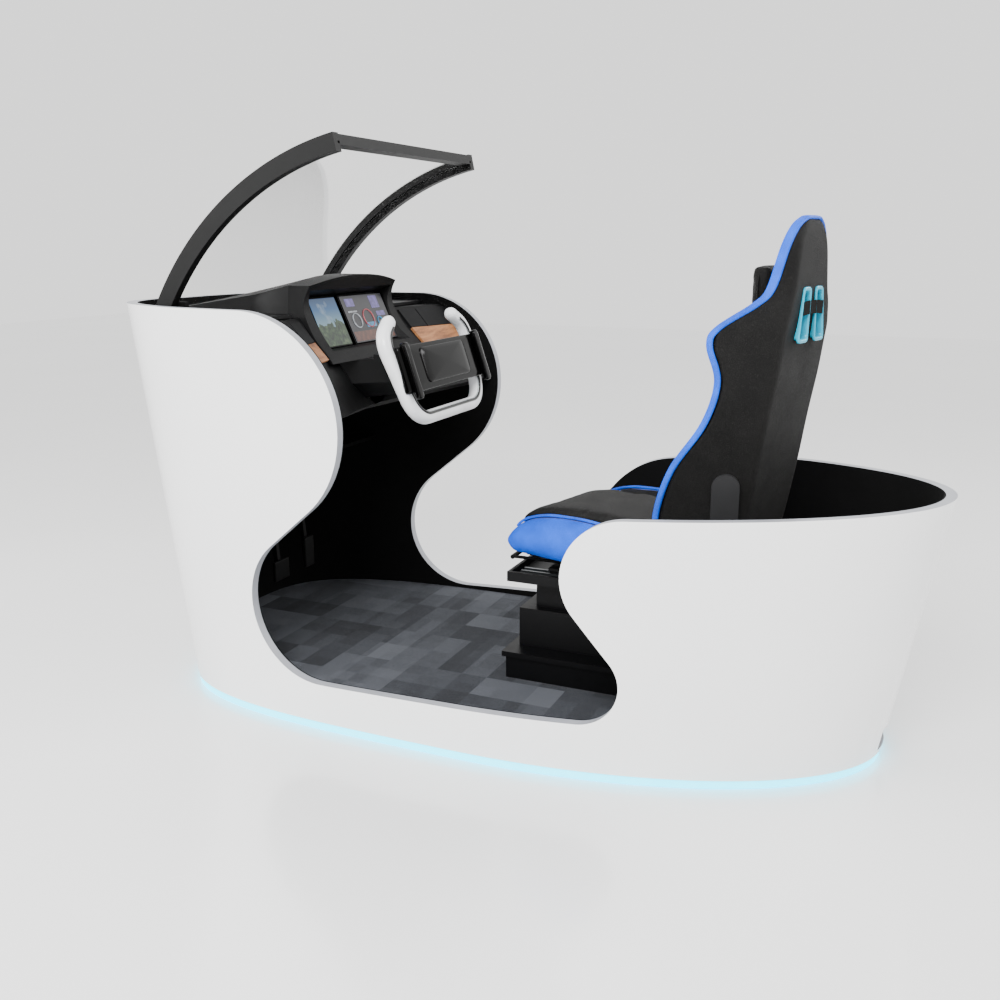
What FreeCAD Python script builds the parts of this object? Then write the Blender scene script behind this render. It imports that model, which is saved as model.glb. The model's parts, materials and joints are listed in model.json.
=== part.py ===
import FreeCAD, Part
import math
import os
import Sketcher
from FreeCAD import Placement, Rotation, Vector

# Sit-down racing cabinet. Millimetres, +X forward, +Y the driver's left, +Z up.
# The origin is on the ground below the middle of the outline.

doc = FreeCAD.newDocument("racing_cabinet")
sheet = doc.addObject("Spreadsheet::Sheet", "dims")

DIMENSIONS = [
    ("centre_x", -16.0, "x of the widest cross-section of the pod"),
    ("half_length", 1094.7, "half length of the pod at ground level"),
    ("half_width", 518.0, "half width of the pod at ground level"),
    ("flare_front", 0.132, "growth of the nose per unit of height"),
    ("flare_rear", 0.173, "growth of the tail per unit of height"),
    ("flare_side", 0.0394, "growth of the side per unit of height"),
    ("nose_power", 3.636, "superellipse exponent of the nose half"),
    ("tail_power", 2.004, "superellipse exponent of the tail half"),
    ("shell_low", 27.0, "bottom edge of the shell"),
    ("shell_wall", 28.0, "thickness of the outer moulding"),
    ("lining_wall", 4.0, "thickness of the inner lining"),
    ("fit_gap", 0.4, "gap between neighbouring curved pieces"),
    ("nose_rim", 1228.5, "height of the nose rim"),
    ("tail_rim", 721.4, "height of the tail rim at centre_x"),
    ("tail_rise", 0.0352, "rise of the tail rim per unit of length"),
    ("seam_x", 60.0, "where the front and rear mouldings meet"),
    ("nose_arc_x", 614.0, "centre of the arc below the nose rim"),
    ("nose_arc_r", 312.0, "radius of the arc below the nose rim"),
    ("foot_arc_x", 415.5, "centre of the arc at the driver's feet"),
    ("foot_arc_z", 378.0, "height of that arc's centre"),
    ("foot_arc_r", 229.0, "radius of that arc"),
    ("step_arc_x", -365.7, "centre of the arc beside the pedestal"),
    ("step_arc_z", 279.3, "height of that arc's centre"),
    ("step_arc_r", 113.4, "radius of that arc"),
    ("tub_arc_x", -486.5, "centre of the arc below the tub rim"),
    ("tub_arc_r", 166.0, "radius of the arc below the tub rim"),
    ("frame_low", 36.0, "underside of the chassis"),
    ("frame_high", 114.0, "top of the chassis"),
    ("rail_y", 230.0, "inner face of a chassis rail"),
    ("rail_width", 40.0, "width of a chassis tube"),
    ("tube_wall", 3.0, "wall of a chassis tube"),
    ("rail_half", 850.0, "half length of a chassis rail"),
    ("foot_radius", 28.0, "radius of a levelling foot"),
    ("foot_height", 10.0, "height of a levelling foot's pad"),
    ("stem_radius", 6.0, "radius of a levelling foot's stem"),
    ("floor_high", 132.0, "top of the plywood floor"),
    ("carpet_high", 138.0, "top of the carpet"),
    ("light_low", 3.0, "underside of the lit ring"),
    ("light_inset", 3.0, "inset of the lit ring from the shell"),
    ("light_width", 14.0, "width of the lit ring"),
    ("column_slope", 18.5, "tilt of the steering axis, degrees"),
    ("yoke_x", 285.0, "steering axis at the plane of the rim"),
    ("yoke_z", 1039.0, "height of that point"),
    ("shaft_radius", 11.0, "radius of the steering shaft"),
    ("shaft_gap", 0.05, "running clearance of the shaft"),
    ("seat_x", -380.0, "vertical axis of the swivel"),
    ("seat_turn", -15.0, "swivel angle at rest, degrees"),
    ("plate_low", 430.0, "underside of the seat plate"),
    ("pan_low", 492.7, "underside of the seat pan"),
    ("pan_high", 514.0, "top of the seat pan"),
    ("hinge_u", -205.0, "recline axis, measured forward from the swivel"),
    ("hinge_z", 560.0, "recline axis, height"),
    ("pedal_x", 900.0, "pedal pivots"),
    ("pedal_z", 520.0, "height of the pedal pivots"),
    ("pin_radius", 6.0, "radius of a pedal pin"),
]

for row, (alias, value, meaning) in enumerate(DIMENSIONS, start=1):
    sheet.set(f"A{row}", meaning)
    sheet.set(f"B{row}", str(value))
    sheet.setAlias(f"B{row}", alias)
doc.recompute()

SECTION_STEPS = 28
kept = []


def dim(alias):
    return float(sheet.get(alias))


def keep(obj):
    kept.append(obj)
    return obj


def bind(obj, formulas):
    for name, formula in formulas.items():
        obj.setExpression(name, str(formula))
    return obj


def block(label, low, size):
    """A box whose low corner and size are formulas of the sheet."""
    obj = doc.addObject("Part::Box", label)
    bind(obj, {"Length": size[0], "Width": size[1], "Height": size[2]})
    return bind(obj, {f"Placement.Base.{axis}": formula for axis, formula in zip("xyz", low)})


def tray(label, low, size, wall):
    """A block hollowed from below, so that it is a folded cover of one wall thickness."""
    hollow_low = (f"{low[0]} + {wall}", f"{low[1]} + {wall}", f"{low[2]} - 1")
    hollow_size = (f"{size[0]} - 2 * {wall}", f"{size[1]} - 2 * {wall}", f"{size[2]} + 1 - {wall}")
    return cut(label, block(label + "_outside", low, size), block(label + "_hollow", hollow_low, hollow_size))


def rod(label, radius, length, base, direction=Vector(0, 0, 1)):
    """A cylinder from base along direction; radius and length are formulas."""
    obj = doc.addObject("Part::Cylinder", label)
    bind(obj, {"Radius": radius, "Height": length})
    obj.Placement = Placement(Vector(*base), Rotation(Vector(0, 0, 1), direction))
    return obj


def fuse(label, pieces):
    obj = doc.addObject("Part::MultiFuse", label)
    obj.Shapes = pieces
    return obj


def cut(label, base, tool):
    obj = doc.addObject("Part::Cut", label)
    obj.Base = base
    obj.Tool = tool
    return obj


def common(label, base, tool):
    obj = doc.addObject("Part::Common", label)
    obj.Base = base
    obj.Tool = tool
    return obj


def group(label, pieces):
    obj = doc.addObject("Part::Compound", label)
    obj.Links = pieces
    return obj


def solid(label, shape):
    obj = doc.addObject("Part::Feature", label)
    obj.Shape = shape
    return obj


def polygon(points):
    return Part.Wire(Part.makePolygon([Vector(*point) for point in points + points[:1]]).Edges)


def prism(points, sweep):
    return Part.Face(polygon(points)).extrude(Vector(*sweep))


def loft(wires):
    return Part.makeLoft(wires, True, True)


def mirrored(shape):
    return shape.mirror(Vector(0, 0, 0), Vector(0, 1, 0))


def pair(label, shape):
    """The shape and its mirror image, as two solids of one node."""
    return solid(label, Part.makeCompound([shape, mirrored(shape)]))


# ---------------------------------------------------------------- pod outline

def outline(inset, height):
    """The pod's horizontal outline at a height, moved in by inset."""
    side = dim("half_width") + dim("flare_side") * height - inset
    halves = (
        (dim("half_length") + dim("flare_front") * height - inset, dim("nose_power"), -90.0),
        (dim("half_length") + dim("flare_rear") * height - inset, dim("tail_power"), 90.0),
    )
    edges = []
    for reach, power, start in halves:
        points = []
        for step in range(SECTION_STEPS + 1):
            angle = math.radians(start + 180.0 * step / SECTION_STEPS)
            across, along = math.sin(angle), math.cos(angle)
            size = (abs(along) ** power + abs(across) ** power) ** (-1.0 / power)
            points.append(Vector(dim("centre_x") + reach * size * along, side * size * across, height))
        forward = Vector(1.0 if start < 0 else -1.0, 0, 0)
        curve = Part.BSplineCurve()
        curve.interpolate(Points=points, InitialTangent=forward, FinalTangent=-forward)
        edges.append(curve.toShape())
    return Part.Wire(edges)


def hull(inset, low, high):
    return loft([outline(inset, low), outline(inset, high)])


def ring(outer_inset, inner_inset, low, high):
    return hull(outer_inset, low, high).cut(hull(inner_inset, low - 5.0, high + 5.0))


def rim_height(along):
    return dim("tail_rim") - dim("tail_rise") * (along - dim("centre_x"))


def tangent_points(centre_a, radius_a, centre_b, radius_b):
    """Ends of the line tangent to two circles of a path; a left turn has a positive radius."""
    gap = centre_b - centre_a
    ahead = Vector(gap).normalize()
    left = Vector(-ahead.z, 0, ahead.x)
    cosine = (radius_b - radius_a) / gap.Length
    normal = ahead * cosine + left * math.sqrt(1.0 - cosine * cosine)
    return centre_a - normal * radius_a, centre_b - normal * radius_b


def arc_between(start, end, centre, radius):
    middle = (start - centre) + (end - centre)
    return Part.Arc(start, centre + middle.normalize() * abs(radius), end).toShape()


def rim_point(along):
    """A point on the tail rim and the rim's upward normal there."""
    return Vector(along, 0, rim_height(along)), Vector(dim("tail_rise"), 0, 1.0).normalize()


RIGHT_BROW_X = -817.0
RIGHT_BROW_R = 1200.0
RIGHT_TUB_ARCS = [(Vector(-394.5, 0, 385.5), -317.0), (Vector(-221.5, 0, 485.5), -120.0)]
RIGHT_STEP_X = -100.0


def entrance_circles(right):
    """The circles of one side's entrance from the tail rim forward; the right side's tub reaches further."""
    step_z, step_r = dim("step_arc_z"), dim("step_arc_r")
    if right:
        start, normal = rim_point(RIGHT_BROW_X)
        circles = [(start - normal * RIGHT_BROW_R, -RIGHT_BROW_R)] + RIGHT_TUB_ARCS
        circles.append((Vector(RIGHT_STEP_X, 0, step_z), step_r))
    else:
        start, normal = rim_point(dim("tub_arc_x"))
        circles = [(start - normal * dim("tub_arc_r"), -dim("tub_arc_r"))]
        circles.append((Vector(dim("step_arc_x"), 0, step_z), step_r))
    nose_r = dim("nose_arc_r")
    circles.append((Vector(dim("foot_arc_x"), 0, dim("foot_arc_z")), dim("foot_arc_r")))
    circles.append((Vector(dim("nose_arc_x"), 0, dim("nose_rim") - nose_r), -nose_r))
    return start, circles


def side_opening(right):
    """Everything above the rims and one side's entrance, from the middle of the pod outward."""
    start, circles = entrance_circles(right)
    far, top = 1500.0, 1500.0
    corners = [Vector(-far, 0, rim_height(-far)), start]
    edges = [Part.makeLine(*corners)]
    here = start
    for (centre, radius), (next_centre, next_radius) in zip(circles, circles[1:]):
        leave, arrive = tangent_points(centre, radius, next_centre, next_radius)
        edges.append(arc_between(here, leave, centre, radius))
        edges.append(Part.makeLine(leave, arrive))
        here = arrive
    nose, radius = circles[-1]
    rim_start = nose + Vector(0, 0, -radius)
    edges.append(arc_between(here, rim_start, nose, radius))
    tail = [rim_start, Vector(far, 0, dim("nose_rim")), Vector(far, 0, top), Vector(-far, 0, top), corners[0]]
    edges += [Part.makeLine(a, b) for a, b in zip(tail, tail[1:])]
    return Part.Face(Part.Wire(edges)).extrude(Vector(0, -700.0 if right else 700.0, 0))


SHELL_TOP = 1260.0
entrances = [side_opening(False), side_opening(True)]
front_half = block("front_half", ("dims.seam_x", -700, -10), (1400, 1400, 1600))
rear_half = block("rear_half", ("dims.seam_x - 1500", -700, -10), (1500, 1400, 1600))


def walls(prefix, outer_inset, inner_inset, low, extra_cut=None):
    """A skin of the pod, trimmed to the entrances and split at the seam."""
    skin = ring(outer_inset, inner_inset, low, SHELL_TOP)
    trimmed = solid(prefix + "_trimmed", skin.cut(entrances))
    if extra_cut:
        trimmed = cut(prefix + "_inlet", trimmed, extra_cut)
    keep(common(prefix + "_front", trimmed, front_half))
    keep(common(prefix + "_rear", trimmed, rear_half))


def make_shell():
    inlet_hole = block("inlet_hole", (-1180, -75, 42), (140, 150, 66))
    walls("shell", 0.0, dim("shell_wall"), dim("shell_low"), inlet_hole)
    lining_outer = dim("shell_wall") + dim("fit_gap")
    walls("lining", lining_outer, lining_outer + dim("lining_wall"), dim("carpet_high") + 0.5)


# ---------------------------------------------------------------- base

def tube_x(label, low_y):
    """A hollow chassis rail along X."""
    outer = block(label + "_outer", ("-dims.rail_half", low_y, "dims.frame_low"),
                  ("2 * dims.rail_half", "dims.rail_width", "dims.frame_high - dims.frame_low"))
    inner = block(label + "_inner",
                  ("-dims.rail_half - 1", f"{low_y} + dims.tube_wall", "dims.frame_low + dims.tube_wall"),
                  ("2 * dims.rail_half + 2", "dims.rail_width - 2 * dims.tube_wall",
                   "dims.frame_high - dims.frame_low - 2 * dims.tube_wall"))
    return cut(label, outer, inner)


def make_base():
    rails = [tube_x("rail_left", "dims.rail_y"), tube_x("rail_right", "-dims.rail_y - dims.rail_width")]
    members = []
    for number, along in enumerate((-850, -310, 250, 810)):
        members.append(block(f"cross_member_{number}", (along, "-dims.rail_y", "dims.frame_low"),
                             ("dims.rail_width", "2 * dims.rail_y", "dims.frame_high - dims.frame_low")))
    for number, along in enumerate((-430, 0, 430)):
        for side, low_y in (("left", "dims.rail_y + dims.rail_width"), ("right", -478)):
            members.append(block(f"outrigger_{side}_{number}", (along, low_y, "dims.frame_low"),
                                 ("dims.rail_width", "478 - dims.rail_y - dims.rail_width", 60)))
    envelope = solid("chassis_envelope", hull(dim("shell_wall") + 2.0, 0.0, dim("carpet_high")))
    keep(common("chassis_frame", fuse("chassis_tubes", rails + members), envelope))
    feet = []
    for along in (-780, 20, 780):
        for across in (-250, 250):
            tag = f"{along + 1000}_{across + 1000}"
            pad = rod("foot_pad_" + tag, "dims.foot_radius", "dims.foot_height", (along, across, 0))
            stem = rod("foot_stem_" + tag, "dims.stem_radius", "dims.frame_low", (along, across, 0))
            feet.append(fuse("foot_" + tag, [pad, stem]))
    keep(group("levelling_feet", feet))
    inset = dim("shell_wall") + dim("lining_wall") + 2.0
    keep(solid("floor_panel", hull(inset, dim("frame_high"), dim("floor_high"))))
    keep(solid("carpet", hull(inset, dim("floor_high"), dim("carpet_high"))))
    light_outer = dim("light_inset")
    keep(solid("light_ring", ring(light_outer, light_outer + dim("light_width"), dim("light_low"),
                                  dim("shell_low"))))


# ---------------------------------------------------------------- nose

CABIN_INSET = 34.0


def inside(shape):
    """The part of a shape that lies within the lining."""
    return shape.common(hull(CABIN_INSET, 100.0, SHELL_TOP))


WING_SWEEP = (-48.0, 172.0, 0.0)
WING_INNER = 298.0
PANEL_TOP = (581.0, 1185.0)
PANEL_LOW = (527.0, 1123.0)
TRIM_LOW = (481.0, 1075.0)
PLATE = 8.0


def wing_plate(top, low, first, last):
    """A plate on the dashboard's sloping face, from first to last along the wing (0 to 1.5)."""
    lean = Vector(low[0] - top[0], 0, low[1] - top[1]).normalize()
    out = Vector(-lean.z, 0, lean.x)
    if out.x > 0:
        out = out * -1.0
    sweep = Vector(*WING_SWEEP)
    origin = Vector(0, WING_INNER, 0) + sweep * first
    edge = [origin + Vector(top[0], 0, top[1]), origin + Vector(low[0], 0, low[1])]
    face = [edge[0], edge[1], edge[1] - out * PLATE, edge[0] - out * PLATE]
    shape = prism([tuple(point) for point in face], tuple(sweep * (last - first)))
    return inside(shape)


def between(top, low, share):
    return tuple(a + (b - a) * share for a, b in zip(top, low))


def make_wings():
    gap = 0.012
    panels = [wing_plate(between(PANEL_TOP, PANEL_LOW, 0.03), between(PANEL_TOP, PANEL_LOW, 0.97), *span)
              for span in ((gap, 0.47 - gap), (0.47 + gap, 1.35))]
    keep(solid("dash_panels", Part.makeCompound(panels + [mirrored(panel) for panel in panels])))
    trim = wing_plate(PANEL_LOW, TRIM_LOW, gap, 1.35)
    keep(pair("wood_trims", trim))
    return Part.makeCompound(panels + [trim])


DASH_REAR = 735.0
DASH_WALL = 8.0


def moved(shape, along, up):
    copy = shape.copy()
    copy.translate(Vector(along, 0, up))
    return copy


def dash_section(across, top, trim, knee):
    """The dashboard body's outline at a distance from the middle."""
    return polygon([(top[0], across, top[1]), (trim[0], across, trim[1]), (knee[0], across, knee[1]),
                    (knee[0] + 40.0, across, knee[1] - 22.0), (DASH_REAR, across, knee[1] - 22.0),
                    (DASH_REAR, across, top[1])])


def make_dash_body(plates):
    """The dashboard moulding, recessed for its panels and trims and open behind."""
    behind = 11.5
    sections = [
        dash_section(0.0, (672.0, 1190.0), (592.0, 1068.0), (500.0, 905.0)),
        dash_section(WING_INNER, (PANEL_TOP[0] + behind, 1190.0), (TRIM_LOW[0] + behind, 1068.0),
                     (405.0, 925.0)),
        dash_section(WING_INNER + 232.2, (516.0 + behind, 1190.0), (416.0 + behind, 1068.0),
                     (318.0, 940.0)),
    ]
    inner = loft(sections[:2])
    outer = loft(sections[1:])
    half = inner.fuse(outer)
    body = inside(half.fuse(mirrored(half)).removeSplitter())
    hollow = moved(body, DASH_WALL, -DASH_WALL).common(moved(body, DASH_WALL, DASH_WALL))
    hollow = hollow.common(hull(CABIN_INSET + DASH_WALL, 100.0, SHELL_TOP))
    body = body.cut(hollow).cut(hood_volume(-dim("fit_gap"))).cut(axis_rod(62.0, -200.0, 600.0))
    body = body.cut(plates).cut(mirrored(plates))
    body = body.cut(beam_rod(BEAM_RADIUS + dim("fit_gap"), 1200.0)).cut(beam_flange(1.0))
    keep(solid("dash_body", body))
    return body


HOOD_STATIONS = [
    # x, half width at the bottom, z of the bottom, half width at the shoulder, z of the shoulder,
    # z of the crown
    (440.0, 288.0, 1060.0, 258.0, 1284.0, 1311.0),
    (640.0, 288.0, 1060.0, 258.0, 1284.0, 1311.0),
    (730.0, 340.0, 1203.5, 296.0, 1258.0, 1290.0),
    (930.0, 410.0, 1203.5, 380.0, 1222.0, 1238.0),
    (1090.0, 300.0, 1203.5, 270.0, 1206.0, 1210.0),
]
HOOD_SKIN = 6.0


def hood_section(station, skin):
    along, base, base_z, shoulder, shoulder_z, crown = station
    points = [Vector(along, -base + skin, base_z), Vector(along, base - skin, base_z),
              Vector(along, shoulder - skin, shoulder_z - skin),
              Vector(along, -shoulder + skin, shoulder_z - skin)]
    arch = Part.Arc(points[2], Vector(along, 0, crown - skin), points[3]).toShape()
    return Part.Wire([Part.makeLine(points[0], points[1]), Part.makeLine(points[1], points[2]), arch,
                      Part.makeLine(points[3], points[0])])


def hood_volume(skin):
    """The hood as a solid, with its surface moved in by skin."""
    front = loft([hood_section(station, skin) for station in HOOD_STATIONS[:2]])
    last = 4 if skin > 0 else 5
    return front.fuse(loft([hood_section(station, skin) for station in HOOD_STATIONS[1:last]]))


LIP_PROFILE = [(540.0, 1336.0), (549.0, 1306.0), (563.0, 1284.0), (577.0, 1260.0), (584.0, 1232.0),
               (580.0, 1204.0), (568.0, 1176.0), (551.0, 1146.0), (529.0, 1118.0), (504.0, 1094.0),
               (482.0, 1070.0), (465.0, 1046.0)]
SCREEN_TOP = (608.0, 235.0, 1251.0)
SCREEN_LOW = (538.0, 218.0, 1095.0)


def facing_slab(depth, reach=600.0):
    """A slab across the cabin whose rear face follows the hood's lip."""
    lip = Part.BSplineCurve()
    lip.interpolate([Vector(along, -reach, up) for along, up in LIP_PROFILE])
    first, last = lip.StartPoint, lip.EndPoint
    back = Vector(depth, 0, 0)
    edges = [lip.toShape(), Part.makeLine(last, last + back), Part.makeLine(last + back, first + back),
             Part.makeLine(first + back, first)]
    return Part.Face(Part.Wire(edges)).extrude(Vector(0, 2 * reach, 0))


def make_hood():
    facing = facing_slab(900.0)
    keep(solid("dash_hood", hood_volume(0.0).common(facing).cut(hood_volume(HOOD_SKIN)).removeSplitter()))
    gap = dim("fit_gap")
    core = hood_volume(HOOD_SKIN + gap).common(facing_slab(110.0))
    mouth = polygon([(559.0, -248.0, 1276.0), (559.0, 248.0, 1276.0), (486.0, 252.0, 1092.0),
                     (486.0, -252.0, 1092.0)])
    top_x, top_y, top_z = SCREEN_TOP
    low_x, low_y, low_z = SCREEN_LOW
    pane = polygon([(top_x, -top_y, top_z), (top_x, top_y, top_z), (low_x, low_y, low_z),
                    (low_x, -low_y, low_z)])
    funnel = loft([mouth, pane])
    approach = prism([(400.0, -252.0, 1276.0), (559.0, -252.0, 1276.0), (486.0, -252.0, 1092.0),
                      (400.0, -252.0, 1092.0)], (0, 504.0, 0))
    lean = Vector(top_x - low_x, 0, top_z - low_z).normalize()
    into = Vector(lean.z, 0, -lean.x)
    back = Part.Face(pane).extrude(into * 200.0)
    keep(solid("screen_bezel", core.cut(funnel).cut(approach).cut(back)))
    make_displays(into, lean)


def make_displays(into, lean):
    """Two flat displays side by side, just behind the bezel's opening."""
    split = 57.0
    thick = 10.0
    spans = (("display_left", 226.0, split + 10.0), ("display_right", split - 10.0, -226.0))
    for label, left, right in spans:
        start = Vector(SCREEN_LOW[0], 0, SCREEN_LOW[2]) + lean * 3.0 + into * 1.0
        corners = [start + Vector(0, across, 0) for across in (left, right)]
        tall = lean * 164.0
        limits = [corners[0], corners[1], corners[1] + tall, corners[0] + tall]
        slab = prism([tuple(point) for point in limits], tuple(into * thick))
        keep(solid(label, slab.common(display_wedge(into))))


def display_wedge(into):
    """The space behind the tapering opening, 1 mm clear of its edges."""
    top_x, top_y, top_z = SCREEN_TOP
    low_x, low_y, low_z = SCREEN_LOW
    pane = polygon([(top_x, 1.0 - top_y, top_z), (top_x, top_y - 1.0, top_z), (low_x, low_y - 1.0, low_z),
                    (low_x, 1.0 - low_y, low_z)])
    return Part.Face(pane).extrude(into * 60.0)


DECK_HIGH = 1203.0


def make_deck():
    deck = inside(Part.makeBox(700.0, 1200.0, 10.0, Vector(600.0, -600.0, DECK_HIGH - 10.0)))
    under_hood = Part.makeBox(360.0, 600.0, 40.0, Vector(580.0, -300.0, 1180.0))
    keep(solid("nose_deck", deck.cut(under_hood).cut(hood_volume(-dim("fit_gap")))))


# ---------------------------------------------------------------- steering

def steering_axis():
    tilt = math.radians(dim("column_slope"))
    return Vector(math.cos(tilt), 0, -math.sin(tilt))


def steering_up():
    axis = steering_axis()
    return Vector(-axis.z, 0, axis.x)


def steering_point(along, across=0.0, up=0.0):
    """A point in the steering frame: forward along the axis, to the left, and up in the rim's plane."""
    origin = Vector(dim("yoke_x"), 0, dim("yoke_z"))
    return origin + steering_axis() * along + Vector(0, across, 0) + steering_up() * up


def axis_rod(radius, start, end):
    return Part.makeCylinder(radius, end - start, steering_point(start), steering_axis())


RIM_RADIUS = 22.0
RIM_LOW = 148.0
BEND_CENTRE = (150.0, -58.0)
BEND_RADIUS = 90.0
SHOULDER_CENTRE = (204.0, 72.0)
SHOULDER_RADIUS = 66.0
TIP_HEADING = 147.0
TIP_LENGTH = 40.0


def rim_path(along):
    """Half of the yoke's centre line, from the middle of the bottom bar to a tip, and the tip."""
    bend = Vector(BEND_CENTRE[0], 0, BEND_CENTRE[1])
    shoulder = Vector(SHOULDER_CENTRE[0], 0, SHOULDER_CENTRE[1])
    leave, arrive = tangent_points(bend, BEND_RADIUS, shoulder, SHOULDER_RADIUS)
    heading = math.radians(TIP_HEADING)
    onward = Vector(math.cos(heading), 0, math.sin(heading))
    outward = Vector(math.sin(heading), 0, -math.cos(heading))
    tip_start = shoulder + outward * SHOULDER_RADIUS
    tip = tip_start + onward * TIP_LENGTH
    bottom = Vector(0, 0, -RIM_LOW)
    bend_start = Vector(BEND_CENTRE[0], 0, -RIM_LOW)

    def lift(point):
        return steering_point(along, point.x, point.z)

    def middle(start, end, centre, radius):
        return centre + ((start - centre) + (end - centre)).normalize() * radius

    edges = [
        Part.makeLine(lift(bottom), lift(bend_start)),
        Part.Arc(lift(bend_start), lift(middle(bend_start, leave, bend, BEND_RADIUS)), lift(leave)).toShape(),
        Part.makeLine(lift(leave), lift(arrive)),
        Part.Arc(lift(arrive), lift(middle(arrive, tip_start, shoulder, SHOULDER_RADIUS)),
                 lift(tip_start)).toShape(),
        Part.makeLine(lift(tip_start), lift(tip)),
    ]
    return Part.Wire(edges), lift(tip)


HUB_FRONT = -37.0
HUB_DEPTH = 22.0
HUB_HALF_WIDTH = 262.0
HUB_HALF_HEIGHT = 70.0


def make_yoke():
    path, tip = rim_path(0.0)
    start = steering_point(0.0, 0.0, -RIM_LOW)
    section = Part.Wire([Part.Circle(start, Vector(0, 1, 0), RIM_RADIUS).toShape()])
    half = path.makePipeShell([section], True, False).fuse(Part.makeSphere(RIM_RADIUS, tip))
    whole = half.fuse(mirrored(half)).removeSplitter()
    keep(solid("yoke_rim", whole.cut(hub_slab(dim("fit_gap")))))
    boss = axis_rod(42.0, HUB_FRONT + HUB_DEPTH, 70.0)
    bore = axis_rod(dim("shaft_radius"), -12.0, 200.0)
    keep(solid("yoke_hub", hub_slab(0.0).fuse(boss).removeSplitter().cut(bore)))
    bar = steering_box(HUB_FRONT - 15.4, 226.0, -92.0, 15.0, 24.0, 170.0)
    bar = bar.makeFillet(5.0, bar.Edges)
    keep(pair("hub_bars", bar))
    shaft = axis_rod(dim("shaft_radius"), -12.0, 425.0)
    rotor = axis_rod(30.0, MOTOR_START + 14.0, MOTOR_END - 12.0)
    keep(solid("steering_shaft", shaft.fuse(rotor).removeSplitter()))


def steering_box(along, across, up, long, wide, tall):
    """A box in the steering frame from its low corner."""
    base = Part.makeBox(long, wide, tall)
    turn = Rotation(steering_axis(), Vector(0, 1, 0), steering_up(), "XYZ")
    base.Placement = Placement(steering_point(along, across, up), turn)
    return base


def hub_slab(grow):
    """The hub's flat body, grown on every side."""
    return steering_box(HUB_FRONT - grow, -HUB_HALF_WIDTH - grow, -HUB_HALF_HEIGHT - grow,
                        HUB_DEPTH + 2 * grow, 2 * (HUB_HALF_WIDTH + grow), 2 * (HUB_HALF_HEIGHT + grow))


MOTOR_START = 290.0
MOTOR_END = 402.0
BEAM_ALONG = 480.0
BEAM_UP = 118.0
BEAM_RADIUS = 24.0
FLANGE_HALF = 70.0
FLANGE_DEPTH = 14.0
FLANGE_TALL = 215.0


def beam_rod(radius, length):
    """A cylinder along Y on the beam's centre line."""
    centre = steering_point(BEAM_ALONG, 0, BEAM_UP)
    return Part.makeCylinder(radius, length, centre - Vector(0, length / 2.0, 0), Vector(0, 1, 0))


def beam_flange(grow):
    """The plate that carries the motor, grown on every side."""
    low = -FLANGE_HALF - grow
    return steering_box(MOTOR_END + 0.5 - grow, low, low, FLANGE_DEPTH + 2 * grow, -2 * low,
                        FLANGE_TALL + 2 * grow)


def make_column():
    motor = axis_rod(58.0, MOTOR_START, MOTOR_END).cut(axis_rod(31.0, MOTOR_START + 8.0, MOTOR_END - 8.0))
    motor = motor.cut(axis_rod(dim("shaft_radius") + dim("shaft_gap"), MOTOR_START - 5.0, MOTOR_END + 40.0))
    keep(solid("steering_motor", motor))
    beam = beam_rod(BEAM_RADIUS, 960.0).cut(beam_rod(BEAM_RADIUS - dim("tube_wall"), 962.0))
    beam = beam.fuse(beam_flange(0.0).cut(axis_rod(24.0, 300.0, 460.0)))
    for across in (-62.0, 52.0):
        reach = BEAM_ALONG - MOTOR_END - 28.0
        web = steering_box(MOTOR_END + 10.0, across, BEAM_UP - 20.0, reach, 10.0, 40.0)
        beam = beam.fuse(web)
    keep(solid("dash_beam", beam.removeSplitter()))


def make_shroud(dash):
    """The cowl around the column, from the dashboard to just behind the hub."""
    wide = polygon([(560.0, across, height) for across, height in
                    ((-216.0, 1092.0), (216.0, 1092.0), (206.0, 985.0), (120.0, 925.0), (-120.0, 925.0),
                     (-206.0, 985.0))])
    narrow_points = [steering_point(96.0, across, up) for across, up in
                     ((-74.0, 62.0), (74.0, 62.0), (74.0, -20.0), (50.0, -58.0), (-50.0, -58.0),
                      (-74.0, -20.0))]
    narrow = polygon([tuple(point) for point in narrow_points])
    body = loft([wide, narrow]).cut(dash).cut(hood_volume(-dim("fit_gap"))).cut(axis_rod(46.0, -20.0, 500.0))
    keep(solid("column_shroud", body.cut(axis_rod(60.0, MOTOR_START - 4.0, 500.0))))


# ---------------------------------------------------------------- windscreen

ARM_CENTRE = (160.0, 760.0)
ARM_RADIUS = 953.5
ARM_DEPTH = 50.0
ARM_OUTER_Y = 434.0
ARM_WIDTH = 28.0
ARM_FOOT = 24.0
ARM_HEAD = 78.0
HEADER_HEIGHT = 27.0


def arc_sector(inner, outer, start, end, low_y, width):
    """A curved bar about the windscreen's centre, between two angles above the horizontal."""
    def point(radius, angle):
        turn = math.radians(angle)
        return Vector(ARM_CENTRE[0] + radius * math.cos(turn), low_y, ARM_CENTRE[1] + radius * math.sin(turn))
    middle = (start + end) / 2.0
    edges = [Part.Arc(point(outer, start), point(outer, middle), point(outer, end)).toShape(),
             Part.makeLine(point(outer, end), point(inner, end)),
             Part.Arc(point(inner, end), point(inner, middle), point(inner, start)).toShape(),
             Part.makeLine(point(inner, start), point(outer, start))]
    return Part.Face(Part.Wire(edges)).extrude(Vector(0, width, 0))


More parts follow.
